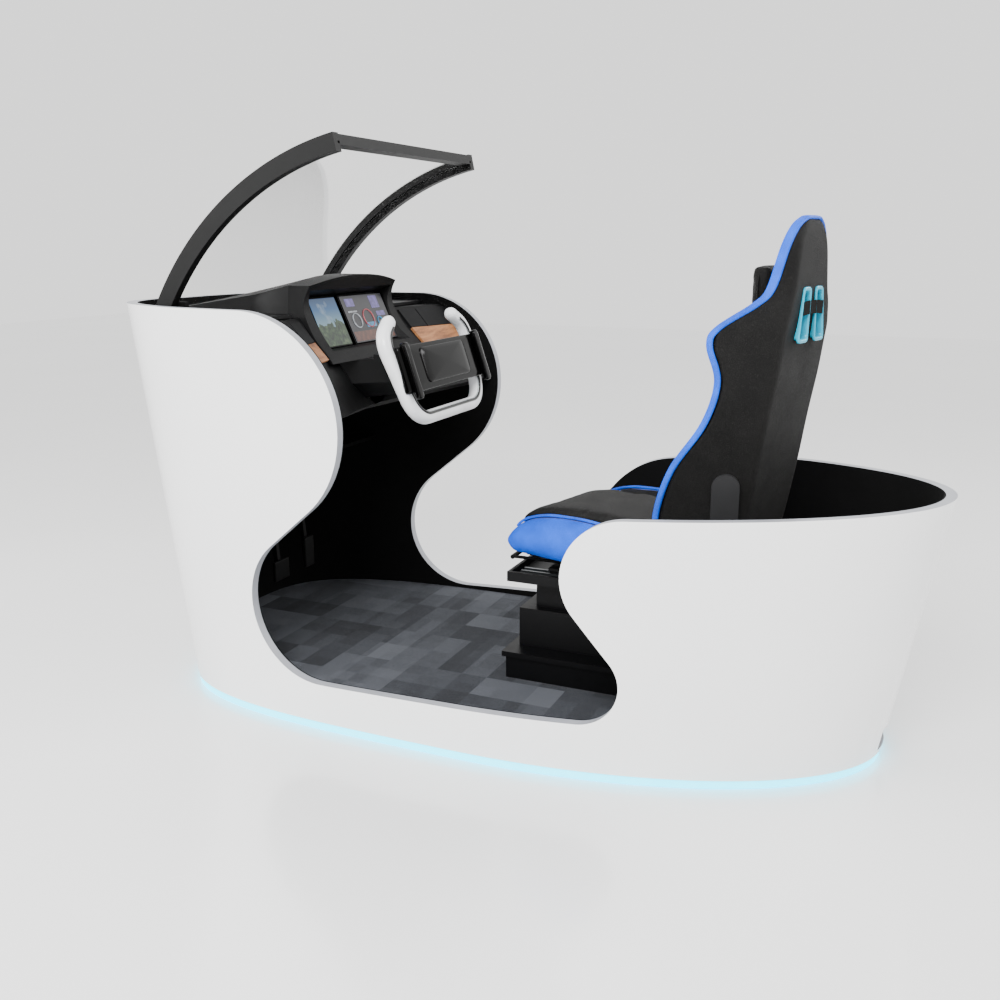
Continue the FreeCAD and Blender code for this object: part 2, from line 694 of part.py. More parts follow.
def make_windscreen():
    inner_y = ARM_OUTER_Y - ARM_WIDTH
    arm = arc_sector(ARM_RADIUS - ARM_DEPTH, ARM_RADIUS, ARM_FOOT, ARM_HEAD, inner_y, ARM_WIDTH)
    groove = arc_sector(ARM_RADIUS - 28.5, ARM_RADIUS - 21.5, ARM_FOOT - 1.0, ARM_HEAD + 1.0,
                        inner_y - 1.0, 11.0)
    under_deck = Part.makeBox(400.0, 1000.0, 300.0, Vector(800.0, -500.0, DECK_HIGH - 299.9))
    arm = arm.cut(groove).cut(under_deck)
    keep(solid("windscreen_arm_left", arm))
    keep(solid("windscreen_arm_right", mirrored(arm)))
    header = arc_sector(ARM_RADIUS - HEADER_HEIGHT - 5.0, ARM_RADIUS - 3.0, 76.2, ARM_HEAD, -inner_y,
                        2 * inner_y)
    header = header.cut(arc_sector(ARM_RADIUS - 28.5, ARM_RADIUS - 21.5, 75.0, 77.0, -inner_y - 1.0,
                                   2 * inner_y + 2.0))
    keep(solid("windscreen_header", header))
    hood = hood_volume(-dim("fit_gap"))
    glass = arc_sector(ARM_RADIUS - 28.0, ARM_RADIUS - 22.0, 29.2, 76.9, -inner_y - 9.0, 2 * inner_y + 18.0)
    keep(solid("windscreen_glass", glass.cut(hood)))
    clamp = Part.makeBox(90.0, 16.0, 34.0, Vector(905.0, inner_y - 16.2, DECK_HIGH + 0.1))
    slot = arc_sector(ARM_RADIUS - 28.5, ARM_RADIUS - 21.5, 25.0, 40.0, inner_y - 20.0, 30.0)
    keep(pair("windscreen_brackets", clamp.cut(slot).cut(hood)))


# ---------------------------------------------------------------- pedals and equipment

SHELF_LOW = 690.0
PEDALS = (("throttle_pedal", -120.0, 56.0, 110.0), ("brake_pedal", 50.0, 84.0, 70.0))


def make_pedals():
    """Two hanging pedals under the equipment shelf, each on a pin between two ears."""
    pedal_x, pedal_z = dim("pedal_x"), dim("pedal_z")
    bracket = Part.makeBox(120.0, 300.0, 10.0, Vector(pedal_x - 60.0, -185.0, SHELF_LOW - 10.0))
    pins, springs = [], []
    for label, middle, pad_width, pad_height in PEDALS:
        for low_y in (middle - 44.0, middle + 36.0):
            ear_low = Vector(pedal_x - 25.0, low_y, pedal_z - 25.0)
            ear = Part.makeBox(50.0, 8.0, SHELF_LOW - pedal_z + 15.0, ear_low)
            bracket = bracket.fuse(ear)
        pins.append(across_rod(dim("pin_radius"), middle, 96.0))
        bracket = bracket.cut(across_rod(dim("pin_radius") + dim("shaft_gap"), middle, 110.0))
        keep(solid(label, pedal(middle, pad_width, pad_height)))
        for low_y in (middle - 34.0, middle + 20.0):
            coil = across_rod(13.0, low_y + 7.0, 14.0).cut(across_rod(8.0, low_y + 7.0, 14.0))
            springs.append(coil)
    keep(solid("pedal_bracket", bracket.removeSplitter()))
    keep(solid("pedal_pins", Part.makeCompound(pins)))
    keep(solid("pedal_springs", Part.makeCompound(springs)))


def across_rod(radius, middle, length):
    """A cylinder along Y through the pedal pivot, centred on a distance across."""
    start = Vector(dim("pedal_x"), middle - length / 2.0, dim("pedal_z"))
    return Part.makeCylinder(radius, length, start, Vector(0, 1, 0))


def pedal(middle, pad_width, pad_height):
    """A boss on the pin, an arm hanging from it and a pad that faces the driver."""
    pedal_x, pedal_z = dim("pedal_x"), dim("pedal_z")
    boss = across_rod(15.0, middle, 34.0)
    arm = prism([(pedal_x - 9.0, middle - 8.0, pedal_z), (pedal_x - 30.0, middle - 8.0, pedal_z - 215.0),
                 (pedal_x - 14.0, middle - 8.0, pedal_z - 215.0), (pedal_x + 9.0, middle - 8.0, pedal_z)],
                (0, 16.0, 0))
    pad = Part.makeBox(12.0, pad_width, pad_height, Vector(pedal_x - 38.0, middle - pad_width / 2.0,
                                                           pedal_z - 245.0))
    pad = pad.makeFillet(4.0, pad.Edges)
    bore = across_rod(dim("pin_radius") + dim("shaft_gap"), middle, 60.0)
    return boss.fuse(arm).fuse(pad).removeSplitter().cut(bore)


def make_equipment():
    shelf = Part.makeBox(400.0, 1200.0, 12.0, Vector(780.0, -600.0, SHELF_LOW))
    keep(solid("equipment_shelf", inside(shelf)))
    keep(tray("game_computer", (900, -150, "702"), (170, 300, 380), 3))
    plate = block("inlet_plate", (-1072, -84, 40), (4, 168, 70))
    socket = block("inlet_socket", (-1076, -46, 56), (36, 50, 36))
    case = block("switch_case", (-1071, 14, 52), (30, 34, 44))
    mouth = block("socket_mouth", (-1077, -40, 62), (18, 38, 24))
    slot = block("switch_slot", (-1075, 18, 56), (24, 26, 36))
    body = cut("power_inlet", fuse("inlet_body", [plate, socket, case]), group("inlet_cuts", [mouth, slot]))
    keep(body)
    rocker = prism([(-1078.0, 19.0, 63.0), (-1074.0, 19.0, 74.0), (-1078.0, 19.0, 85.0),
                    (-1059.0, 19.0, 82.0), (-1059.0, 19.0, 66.0)], (0, 24.0, 0))
    pivot = Part.makeCylinder(5.0, 24.0, Vector(-1061.0, 19.0, 74.0), Vector(0, 1, 0))
    keep(solid("power_switch", rocker.fuse(pivot).removeSplitter()))


# ---------------------------------------------------------------- seat stand

def make_pedestal():
    keep(tray("pedestal_base", (-640, -220, "dims.carpet_high"), (590, 440, 70), 3))
    keep(tray("pedestal_lid", (-652, -232, "dims.carpet_high + 70"), (611, 464, 16), 4))
    keep(tray("pedestal_riser", (-600, -158, "dims.carpet_high + 86"), (532, 316, 117), 3))
    keep(tray("seat_column", (-550, -126, 341), (440, 252, "dims.plate_low - 341"), 3))


def make_slides():
    plate = block("plate_block", (-640, -190, "dims.plate_low"), (600, 380, 30))
    tray = block("plate_tray", (-630, -180, "dims.plate_low + 10"), (580, 360, 30))
    keep(cut("seat_plate", plate, tray))
    lower = []
    for side, low_y in (("left", 120), ("right", -156)):
        channel = block(f"lower_rail_block_{side}", (-610, low_y, "dims.plate_low + 10"), (540, 36, 18))
        slot = block(f"lower_rail_slot_{side}", (-611, low_y + 8, "dims.plate_low + 14"), (542, 20, 20))
        lower.append(cut(f"lower_rail_{side}", channel, slot))
    keep(group("lower_rails", lower))
    pieces = []
    for side, low_y in (("left", 128.4), ("right", -147.6)):
        pieces.append(block(f"upper_rail_{side}", (-560, low_y, "dims.plate_low + 14.4"), (400, 19.2, 24)))
    pieces.append(block("carriage_plate", (-560, -160, "dims.plate_low + 38.4"), (400, 320, 8)))
    pieces.append(rod("swivel_ring", 130, 16, (dim("seat_x"), 0, dim("plate_low") + 46.4)))
    for side, direction in (("left", 1), ("right", -1)):
        low_y = 118.5 if direction > 0 else -124.5
        lug_low = (HANDLE_PIVOT - 8.0, low_y, "dims.plate_low + 46.4")
        pieces.append(block(f"handle_lug_{side}", lug_low, (16, 6, 16)))
        pieces.append(rod(f"handle_pin_{side}", 3, 12, (HANDLE_PIVOT, direction * 108.5, HANDLE_HIGH),
                          Vector(0, direction, 0)))
    keep(fuse("seat_carriage", pieces))
    make_slide_handle()


HANDLE_FRONT = -28.0
HANDLE_PIVOT = -205.0
HANDLE_HIGH = 484.0
HANDLE_HALF = 113.0


def make_slide_handle():
    """A bent bar whose two arms swing on the carriage's pins."""
    bar = Part.makeCylinder(7.0, 240.0, Vector(HANDLE_FRONT, -120.0, HANDLE_HIGH), Vector(0, 1, 0))
    reach = HANDLE_FRONT - HANDLE_PIVOT
    for across in (-HANDLE_HALF, HANDLE_HALF):
        corner = Vector(HANDLE_FRONT, across, HANDLE_HIGH)
        bar = bar.fuse(Part.makeCylinder(5.0, reach, corner, Vector(-1, 0, 0)))
        eye = Part.makeCylinder(7.0, 10.0, Vector(HANDLE_PIVOT, across - 5.0, HANDLE_HIGH), Vector(0, 1, 0))
        bar = bar.fuse(eye)
    bore_start = Vector(HANDLE_PIVOT, -130.0, HANDLE_HIGH)
    bore = Part.makeCylinder(3.0 + dim("shaft_gap"), 260.0, bore_start, Vector(0, 1, 0))
    keep(solid("slide_handle", bar.removeSplitter().cut(bore)))


# ---------------------------------------------------------------- seat (own frame: swivel axis at the origin)

def seat_placement():
    return Placement(Vector(dim("seat_x"), 0, 0), Rotation(Vector(0, 0, 1), dim("seat_turn")))


def seat_piece(label, shape):
    obj = solid(label, shape)
    obj.Placement = seat_placement()
    return keep(obj)


def make_pan():
    low, high = dim("pan_low"), dim("pan_high")
    pan = Part.makeBox(460.0, 400.0, 14.0, Vector(-200.0, -200.0, high - 14.0))
    boss = Part.makeCylinder(120.0, high - 14.0 - low, Vector(0, 0, low))
    seat_piece("seat_pan", pan.fuse(boss).removeSplitter())


def cushion_profile():
    return [(300.0, 576.0), (306.0, 600.0), (288.0, 622.0), (200.0, 640.0), (60.0, 646.0), (-150.0, 640.0),
            (-158.0, 560.0), (-150.0, 516.0), (180.0, 516.0), (250.0, 550.0)]


def make_cushions():
    half = 184.0
    pad = prism([(along, -half, up) for along, up in cushion_profile()], (0, 2 * half, 0))
    seat_piece("cushion_pad", pad)
    stations = [(268.0, 20.0, 545.0), (235.0, 46.0, 562.0), (120.0, 62.0, 582.0), (-60.0, 62.0, 582.0),
                (-150.0, 48.0, 570.0)]
    wires = []
    for along, tall, middle in stations:
        low, high = max(middle - tall, 516.0), middle + tall
        wires.append(polygon([(along, 187.0, low), (along, 262.0, low), (along, 281.0, middle),
                              (along, 258.0, high), (along, 208.0, high), (along, 187.0, high - 14.0)]))
    bolster = loft(wires)
    seat_piece("cushion_bolsters", Part.makeCompound([bolster, mirrored(bolster)]))


BACK_STATIONS = [
    # z, rear face, half width of the rear face, front edge, half width at the edge, centre of the front
    (610.0, -394.0, 118.0, -206.0, 228.0, -262.0),
    (694.0, -408.0, 130.0, -192.0, 246.0, -266.0),
    (830.0, -430.0, 135.0, -235.0, 252.0, -300.0),
    (962.0, -449.0, 135.0, -322.0, 248.0, -352.0),
    (1073.0, -468.0, 135.0, -354.0, 245.0, -388.0),
    (1162.0, -480.0, 135.0, -334.0, 258.0, -398.0),
    (1205.0, -486.0, 132.0, -350.0, 248.0, -404.0),
    (1262.0, -490.0, 118.0, -410.0, 168.0, -424.0),
    (1300.0, -491.0, 104.0, -431.0, 134.0, -440.0),
    (1400.0, -491.0, 84.0, -452.0, 112.0, -456.0),
    (1450.0, -489.0, 56.0, -460.0, 76.0, -463.0),
    (1471.0, -482.0, 24.0, -466.0, 34.0, -468.0),
]
SKIN = 20.0


def wing_width(half):
    return min(95.0, half * 0.42)


def make_backrest():
    shells, pads, wings = [], [], []
    for up, rear, rear_half, front, half, centre in BACK_STATIONS:
        skin = min(SKIN, (front - rear) * 0.4)
        inner = half - wing_width(half)
        behind = min(centre, front) - skin
        shells.append(polygon([(rear, -rear_half, up), (rear, rear_half, up), (front - skin, half, up),
                               (front - skin, half - 26.0 if half > 60.0 else half * 0.8, up),
                               (behind, inner, up), (behind, -inner, up),
                               (front - skin, 26.0 - half if half > 60.0 else -half * 0.8, up),
                               (front - skin, -half, up)]))
        pads.append(polygon([(behind + 0.4, -inner + 0.6, up), (behind + 0.4, inner - 0.6, up),
                             (centre, inner - 0.6, up), (centre, -inner + 0.6, up)]))
        wings.append(polygon([(front - skin + 0.4, half, up), (front, half - 4.0, up),
                              (front, half - 24.0 if half > 60.0 else half * 0.8 + 2.0, up),
                              (centre, inner, up),
                              (behind + 0.4, inner, up),
                              (front - skin + 0.4, half - 25.0 if half > 60.0 else half * 0.8 + 1.0, up)]))
    holes = [strap_hole(side, 0.0) for side in (-1, 1)]
    shell = loft(shells)
    pad = loft(pads[:-3])
    for hole in holes:
        shell = shell.cut(hole)
        pad = pad.cut(hole)
    seat_piece("backrest_shell", shell)
    seat_piece("backrest_pad", pad)
    wing = loft(wings[:-3]).cut(shell)
    wing = max(wing.Solids, key=lambda piece: piece.Volume)
    bolsters = Part.makeCompound([wing, mirrored(wing)])
    seat_piece("backrest_bolsters", bolsters)
    rings = []
    for side in (-1, 1):
        collar = strap_hole(side, 0.4, -500.0, 40.0).cut(strap_hole(side, 5.0))
        rings.append(collar)
    seat_piece("strap_grommets", Part.makeCompound(rings))
    cover = arm_cover().cut(shell)
    cover = max(cover.Solids, key=lambda piece: piece.Volume)
    seat_piece("arm_covers", Part.makeCompound([cover, mirrored(cover)]))
    return [pad, bolsters]


COVER_FOOT = Vector(-350.0, 144.0, 612.0)
COVER_HEAD = Vector(-363.0, 171.0, 793.0)
COVER_HALF = 36.0
COVER_PROUD = 12.0


def arm_cover():
    """A round-topped cover lying on the backrest's side facet, over the recline arm."""
    upward = (COVER_HEAD - COVER_FOOT).normalize()
    along = Vector(0.881, 0.473, 0)
    outward = upward.cross(along).normalize()
    along = outward.cross(upward)
    if outward.y < 0:
        outward = outward * -1.0
    left, right = along * -COVER_HALF, along * COVER_HALF
    edges = [Part.makeLine(COVER_FOOT + right, COVER_FOOT + left),
             Part.makeLine(COVER_FOOT + left, COVER_HEAD + left),
             Part.Arc(COVER_HEAD + left, COVER_HEAD + upward * COVER_HALF, COVER_HEAD + right).toShape(),
             Part.makeLine(COVER_HEAD + right, COVER_FOOT + right)]
    face = Part.Face(Part.Wire(edges))
    face.translate(outward * -COVER_PROUD)
    return face.extrude(outward * (2.0 * COVER_PROUD))


def strap_hole(side, inset, start=-560.0, length=260.0):
    """A leaning slot through the top of the backrest, beside the middle."""
    low, high = 1168.0 + inset, 1296.0 - inset
    near, far = 24.0 + inset, 76.0 - inset
    top_near, top_far = 18.0 + inset, 56.0 - inset
    points = [(start, side * near, low), (start, side * far, low), (start, side * top_far, high),
              (start, side * top_near, high)]
    return prism(points, (length, 0, 0))


def make_headrest(neighbours):
    pillow = Part.makeBox(54.0, 250.0, 108.0, Vector(-424.0, -125.0, 1244.0))
    pillow = pillow.makeFillet(20.0, pillow.Edges)
    for neighbour in neighbours:
        pillow = pillow.cut(neighbour)
    seat_piece("headrest_pillow", max(pillow.Solids, key=lambda piece: piece.Volume))
    strap = Part.makeBox(3.0, 34.0, 40.0, Vector(-497.0, -17.0, 1222.0))
    seat_piece("headrest_strap", strap)


HINGE_PIN_RADIUS = 9.0
HINGE_PLATE_Y = 200.0
LEVER_OFFSET = 32.0
LEVER_HIGH = 530.0
LEVER_BLADE_Y = 284.0


def make_recline():
    """Hinge plates with pins on the seat, arms on the backrest, caps, and the recline lever."""
    hinge_u, hinge_z = dim("hinge_u"), dim("hinge_z")
    plate = Part.makeBox(87.0, 6.0, 92.0, Vector(hinge_u - 35.0, HINGE_PLATE_Y, 500.0))
    pin = Part.makeCylinder(HINGE_PIN_RADIUS, 20.5, Vector(hinge_u, HINGE_PLATE_Y, hinge_z), Vector(0, 1, 0))
    fixed = plate.fuse(pin).removeSplitter()
    seat_piece("hinge_plates", Part.makeCompound([fixed, mirrored(fixed)]))
    low_y = 206.4
    arm = prism([(hinge_u - 26.0, low_y, hinge_z - 24.0), (hinge_u + 24.0, low_y, hinge_z - 24.0),
                 (hinge_u + 24.0, low_y, hinge_z + 20.0), (hinge_u - 40.0, low_y, 609.0),
                 (hinge_u - 110.0, low_y, 609.0)], (0, 8.0, 0))
    bore_start = Vector(hinge_u, HINGE_PLATE_Y - 5.0, hinge_z)
    bore = Part.makeCylinder(HINGE_PIN_RADIUS + dim("shaft_gap"), 40.0, bore_start, Vector(0, 1, 0))
    web = Part.makeBox(90.0, 60.0, 6.0, Vector(hinge_u - 130.0, low_y - 52.0, 603.5))
    arm = arm.fuse(web).removeSplitter().cut(bore)
    seat_piece("hinge_arms", Part.makeCompound([arm, mirrored(arm)]))
    cap = Part.makeCylinder(34.0, 12.0, Vector(hinge_u, 220.5, hinge_z), Vector(0, 1, 0))
    seat_piece("hinge_covers", Part.makeCompound([cap, mirrored(cap)]))
    lever = Part.makeCylinder(8.0, 77.0, Vector(hinge_u + LEVER_OFFSET, 215.0, LEVER_HIGH), Vector(0, 1, 0))
    blade = [(hinge_u + 26.0, LEVER_BLADE_Y, 524.0), (hinge_u + 150.0, LEVER_BLADE_Y, 506.0),
             (hinge_u + 152.0, LEVER_BLADE_Y, 514.0), (hinge_u + 36.0, LEVER_BLADE_Y, 538.0)]
    lever = lever.fuse(prism(blade, (0, 8.0, 0)))
    lever = lever.removeSplitter()
    seat_piece("recline_lever", lever)


def make_seat():
    make_pan()
    make_cushions()
    make_headrest(make_backrest())
    make_recline()


make_shell()
make_base()
dash = make_dash_body(make_wings())
make_hood()
make_deck()
make_yoke()
make_column()
make_shroud(dash)
make_windscreen()
make_pedals()
make_equipment()
make_pedestal()
make_slides()
make_seat()

doc.recompute()
faults = [obj.Label for obj in doc.Objects if "Invalid" in obj.State or "Error" in obj.State]
for obj in kept:
    shape = obj.Shape
    if shape.isNull() or not shape.isValid() or not shape.Solids:
        faults.append(obj.Label)
if faults:
    raise RuntimeError("faulty objects: " + ", ".join(faults))

os.makedirs("parts", exist_ok=True)
for obj in kept:
    obj.Shape.exportStep(f"parts/{obj.Label}.step")
    print(obj.Label, len(obj.Shape.Solids), round(obj.Shape.Volume))
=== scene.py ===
import json
import math

import bmesh
import bpy
from mathutils import Matrix, Vector


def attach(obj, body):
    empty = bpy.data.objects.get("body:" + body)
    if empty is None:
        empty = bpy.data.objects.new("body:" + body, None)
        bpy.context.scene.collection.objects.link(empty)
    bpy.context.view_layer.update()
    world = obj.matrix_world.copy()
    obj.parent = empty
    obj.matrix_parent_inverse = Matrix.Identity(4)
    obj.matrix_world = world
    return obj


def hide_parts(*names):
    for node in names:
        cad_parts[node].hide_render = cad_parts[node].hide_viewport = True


# Looks of the sit-down racing cabinet. Metres, +X forward, +Y the driver's left, +Z up.

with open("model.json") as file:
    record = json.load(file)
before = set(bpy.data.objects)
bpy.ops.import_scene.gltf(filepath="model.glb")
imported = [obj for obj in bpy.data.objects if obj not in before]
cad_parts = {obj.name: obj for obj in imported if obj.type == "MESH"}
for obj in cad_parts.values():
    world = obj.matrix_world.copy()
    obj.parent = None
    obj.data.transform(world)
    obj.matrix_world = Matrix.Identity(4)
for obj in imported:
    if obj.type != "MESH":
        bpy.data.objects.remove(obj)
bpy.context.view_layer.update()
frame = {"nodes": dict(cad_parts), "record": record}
nodes = frame["nodes"]

SEAT_ORIGIN = Vector((-0.380, 0.0, 0.0))
SEAT_TURN = math.radians(-15.0)
SEAT = Matrix.Translation(SEAT_ORIGIN) @ Matrix.Rotation(SEAT_TURN, 4, "Z")
YOKE_CENTRE = Vector((0.285, 0.0, 1.039))
COLUMN_SLOPE = math.radians(18.5)

CAMERA_PLACE = (-1.2160, 2.9427, 1.4175)
CAMERA_FORWARD = (0.3876, -0.8901, -0.2398)
CAMERA_LENS = 38.01
CAMERA_SENSOR = 36.0
STUDIO_STRENGTH = 1.55
FLOOR_REACH = 14.0


# ---------------------------------------------------------------- node helpers

class Shader:
    """A material with a Principled surface, built by short calls."""

    def __init__(self, name):
        self.material = bpy.data.materials.new(name)
        self.material.use_nodes = True
        self.tree = self.material.node_tree
        self.surface = self.tree.nodes["Principled BSDF"]
        self.output = self.tree.nodes["Material Output"]
        coordinates = self.tree.nodes.new("ShaderNodeTexCoord")
        self.place = coordinates.outputs["Object"]

    def put(self, kind, **values):
        node = self.tree.nodes.new("ShaderNode" + kind)
        for key, value in values.items():
            if hasattr(node, key):
                setattr(node, key, value)
            else:
                node.inputs[key.replace("_", " ")].default_value = value
        return node

    def link(self, source, target):
        self.tree.links.new(source, target)

    def noise(self, scale, detail=4.0, roughness=0.55, at=None):
        node = self.put("TexNoise", Scale=scale, Detail=detail, Roughness=roughness)
        self.link(at or self.place, node.inputs["Vector"])
        return node.outputs["Fac"]

    def ramp(self, source, stops):
        node = self.put("ValToRGB")
        elements = node.color_ramp.elements
        while len(elements) < len(stops):
            elements.new(0.5)
        for element, (position, colour) in zip(elements, stops):
            element.position = position
            element.color = tuple(colour) + (1.0,)
        self.link(source, node.inputs["Fac"])
        return node.outputs["Color"]

    def spread(self, source, low, high, start=0.0, end=1.0):
        """Maps start..end of a value to low..high."""
        node = self.put("MapRange")
        for key, value in zip(("From Min", "From Max", "To Min", "To Max"), (start, end, low, high)):
            node.inputs[key].default_value = value
        self.link(source, node.inputs["Value"])
        return node.outputs["Result"]

    def math(self, operation, first, second=None):
        node = self.put("Math", operation=operation)
        for socket, value in zip(node.inputs, (first, second)):
            if value is None:
                continue
            if isinstance(value, (int, float)):
                socket.default_value = value
            else:
                self.link(value, socket)
        return node.outputs[0]

    def bump(self, height, distance, strength=1.0, under=None):
        node = self.put("Bump")
        node.inputs["Distance"].default_value = distance
        node.inputs["Strength"].default_value = strength
        self.link(height, node.inputs["Height"])
        if under:
            self.link(under, node.inputs["Normal"])
        self.link(node.outputs["Normal"], self.surface.inputs["Normal"])
        return node.outputs["Normal"]

    def set(self, **values):
        for key, value in values.items():
            self.surface.inputs[key.replace("_", " ")].default_value = value
        return self

    def colour(self, source):
        self.link(source, self.surface.inputs["Base Color"])

    def rough(self, source):
        self.link(source, self.surface.inputs["Roughness"])


def grey(value):
    return (value, value, value)


def tinted(colour, share):
    return tuple(min(1.0, part * share) for part in colour)


# ---------------------------------------------------------------- materials

def plain(name, colour, low, high, grain=400.0, depth=0.00003, **extra):
    """Moulded plastic or paint: slightly uneven colour, roughness and surface."""
    shader = Shader(name)
    cloud = shader.noise(9.0, 3.0)
    shader.colour(shader.ramp(cloud, [(0.3, tinted(colour, 0.9)), (0.7, tinted(colour, 1.1))]))
    shader.rough(shader.spread(shader.noise(38.0, 5.0), low, high))
    shader.bump(shader.noise(grain, 2.0), depth)
    shader.set(**extra)
    return shader.material


def make_shell_paint():
    shader = Shader("gelcoat_white")
    cloud = shader.noise(1.6, 2.0)
    shader.colour(shader.ramp(cloud, [(0.3, (0.90, 0.905, 0.91)), (0.7, (0.94, 0.94, 0.935))]))
    shader.rough(shader.spread(shader.noise(5.0, 4.0), 0.16, 0.22))
    shader.bump(shader.noise(2.6, 1.0), 0.0004, 0.25)
    shader.set(Coat_Weight=1.0, Coat_Roughness=0.04)
    return shader.material


def make_carpet():
    """Rectangular tiles in mixed blue greys, each with its own shade, over a speckled loop pile."""
    shader = Shader("carpet_tiles")
    shades = []
    for size, seed in (((0.25, 0.125, 1.0), 0.0), ((0.0833, 0.25, 1.0), 7.3), ((0.0625, 0.0625, 1.0), 3.1)):
        snapped = shader.put("VectorMath", operation="SNAP")
        shader.link(shader.place, snapped.inputs[0])
        snapped.inputs[1].default_value = size
        shifted = shader.put("VectorMath", operation="ADD")
        shader.link(snapped.outputs[0], shifted.inputs[0])
        shifted.inputs[1].default_value = (seed, seed, 0.0)
        flat = shader.put("VectorMath", operation="MULTIPLY")
        shader.link(shifted.outputs[0], flat.inputs[0])
        flat.inputs[1].default_value = (1.0, 1.0, 0.0)
        shade = shader.put("TexWhiteNoise", noise_dimensions="3D")
        shader.link(flat.outputs[0], shade.inputs["Vector"])
        shades.append(shade.outputs["Value"])
    mixed = shader.math("ADD", shader.math("MULTIPLY", shades[0], 0.5),
                        shader.math("MULTIPLY", shades[1], 0.35))
    mixed = shader.math("ADD", mixed, shader.math("MULTIPLY", shades[2], 0.15))
    speck = shader.spread(shader.noise(900.0, 2.0), -0.5, 0.5, 0.3, 0.7)
    mixed = shader.math("ADD", mixed, speck)
    shader.colour(shader.ramp(mixed, [(0.15, (0.006, 0.0065, 0.0085)), (0.5, (0.023, 0.026, 0.033)),
                                      (0.85, (0.088, 0.094, 0.108))]))
    shader.set(Roughness=0.95, Specular_IOR_Level=0.1, Sheen_Weight=0.05)
    shader.bump(shader.noise(700.0, 3.0), 0.0018)
    return shader.material


def make_leather(name, colour, pebble, low, high, depth=0.0006, gloss=0.3):
    """Leather grain: small cells with fine creases between them, painted darker in the creases as shade, on a
    slowly varying colour.
    """
    shader = Shader(name)
    cells = shader.put("TexVoronoi", feature="DISTANCE_TO_EDGE", Scale=pebble)
    warp = shader.put("TexNoise", Scale=pebble * 0.35, Detail=3.0)
    shader.link(shader.place, warp.inputs["Vector"])
    blend = shader.put("Mix", data_type="VECTOR")
    blend.inputs[0].default_value = 0.02
    shader.link(shader.place, blend.inputs[4])
    shader.link(warp.outputs["Color"], blend.inputs[5])
    shader.link(blend.outputs[1], cells.inputs["Vector"])
    grain = shader.spread(cells.outputs["Distance"], 0.0, 1.0, 0.0, 0.25)
    cloud = shader.noise(14.0, 4.0)
    # painted shade: the colour darkens into the creases between the grain cells, mixed with a slowly varying
    # tone
    crease_shade_and_tone = shader.math("ADD", shader.math("MULTIPLY", grain, 0.45), shader.math("MULTIPLY", cloud, 0.55))
    shader.colour(shader.ramp(crease_shade_and_tone,
                              [(0.15, tinted(colour, 0.45)), (0.5, colour), (0.85, tinted(colour, 2.1))]))
    shader.rough(shader.spread(crease_shade_and_tone, high, low))
    first = shader.bump(grain, depth)
    shader.bump(shader.noise(pebble * 4.0, 2.0), depth * 0.3, under=first)
    shader.set(Specular_IOR_Level=gloss)
    return shader.material


def make_wood():
    """Open-grained veneer with its grain across the dashboard."""
    shader = Shader("trim_veneer")
    squeeze = shader.put("VectorMath", operation="MULTIPLY")
    shader.link(shader.place, squeeze.inputs[0])
    squeeze.inputs[1].default_value = (9.0, 1.6, 9.0)
    figure = shader.noise(7.0, 7.0, 0.65, squeeze.outputs[0])
    pores = shader.put("VectorMath", operation="MULTIPLY")
    shader.link(shader.place, pores.inputs[0])
    pores.inputs[1].default_value = (70.0, 4.0, 70.0)
    fleck = shader.noise(12.0, 3.0, 0.6, pores.outputs[0])
    mixed = shader.math("ADD", shader.math("MULTIPLY", figure, 0.7), shader.math("MULTIPLY", fleck, 0.3))
    shader.colour(shader.ramp(mixed, [(0.36, (0.13, 0.045, 0.014)), (0.5, (0.29, 0.115, 0.040)),
                                      (0.64, (0.42, 0.19, 0.075))]))
    shader.rough(shader.spread(fleck, 0.38, 0.6))
    shader.bump(fleck, 0.0002)
    return shader.material


def make_light():
    shader = Shader("light_diffuser")
    ripple = shader.noise(22.0, 2.0)
    shader.colour(shader.ramp(ripple, [(0.3, (0.05, 0.60, 0.75)), (0.7, (0.07, 0.68, 0.82))]))
    shader.set(Roughness=0.4, Emission_Color=(0.0, 0.60, 0.85, 1.0), Emission_Strength=5.0)
    return shader.material


def make_glass():
    shader = Shader("clear_acrylic")
    smear = shader.noise(3.0, 3.0)
    shader.colour(shader.ramp(smear, [(0.3, (0.985, 0.99, 0.99)), (0.7, (1.0, 1.0, 1.0))]))
    shader.set(Roughness=0.02, IOR=1.45, Transmission_Weight=1.0)
    return shader.material


def make_landscape():
    """A plain open landscape on the left display: sky with thin cloud over low hills."""
    shader = Shader("display_landscape")
    split = shader.put("SeparateXYZ")
    shader.link(shader.place, split.inputs[0])
    height = split.outputs["Z"]
    ridge = shader.spread(shader.noise(26.0, 6.0), -0.018, 0.018, 0.3, 0.7)
    land = shader.math("GREATER_THAN", shader.math("ADD", height, ridge), 1.168)
    cloud = shader.noise(17.0, 5.0)
    lifted = shader.spread(height, 0.0, 1.0, 1.165, 1.252)
    sky = shader.ramp(lifted,
                      [(0.0, (0.20, 0.34, 0.42)), (0.5, (0.030, 0.13, 0.30)), (1.0, (0.008, 0.030, 0.09))])
    wisps = shader.put("Mix", data_type="RGBA")
    shader.link(shader.spread(cloud, 0.0, 0.6, 0.58, 0.74), wisps.inputs[0])
    shader.link(sky, wisps.inputs[6])
    wisps.inputs[7].default_value = (0.45, 0.55, 0.62, 1.0)
    field = shader.ramp(shader.noise(60.0, 6.0),
                        [(0.35, (0.006, 0.016, 0.008)), (0.55, (0.035, 0.075, 0.028)),
                                                  (0.75, (0.12, 0.17, 0.08))])
    picture = shader.put("Mix", data_type="RGBA")
    shader.link(land, picture.inputs[0])
    shader.link(field, picture.inputs[6])
    shader.link(wisps.outputs[2], picture.inputs[7])
    shader.link(picture.outputs[2], shader.surface.inputs["Emission Color"])
    shader.set(Base_Color=(0.004, 0.004, 0.005, 1.0), Roughness=0.12, Emission_Strength=1.0)
    return shader.material


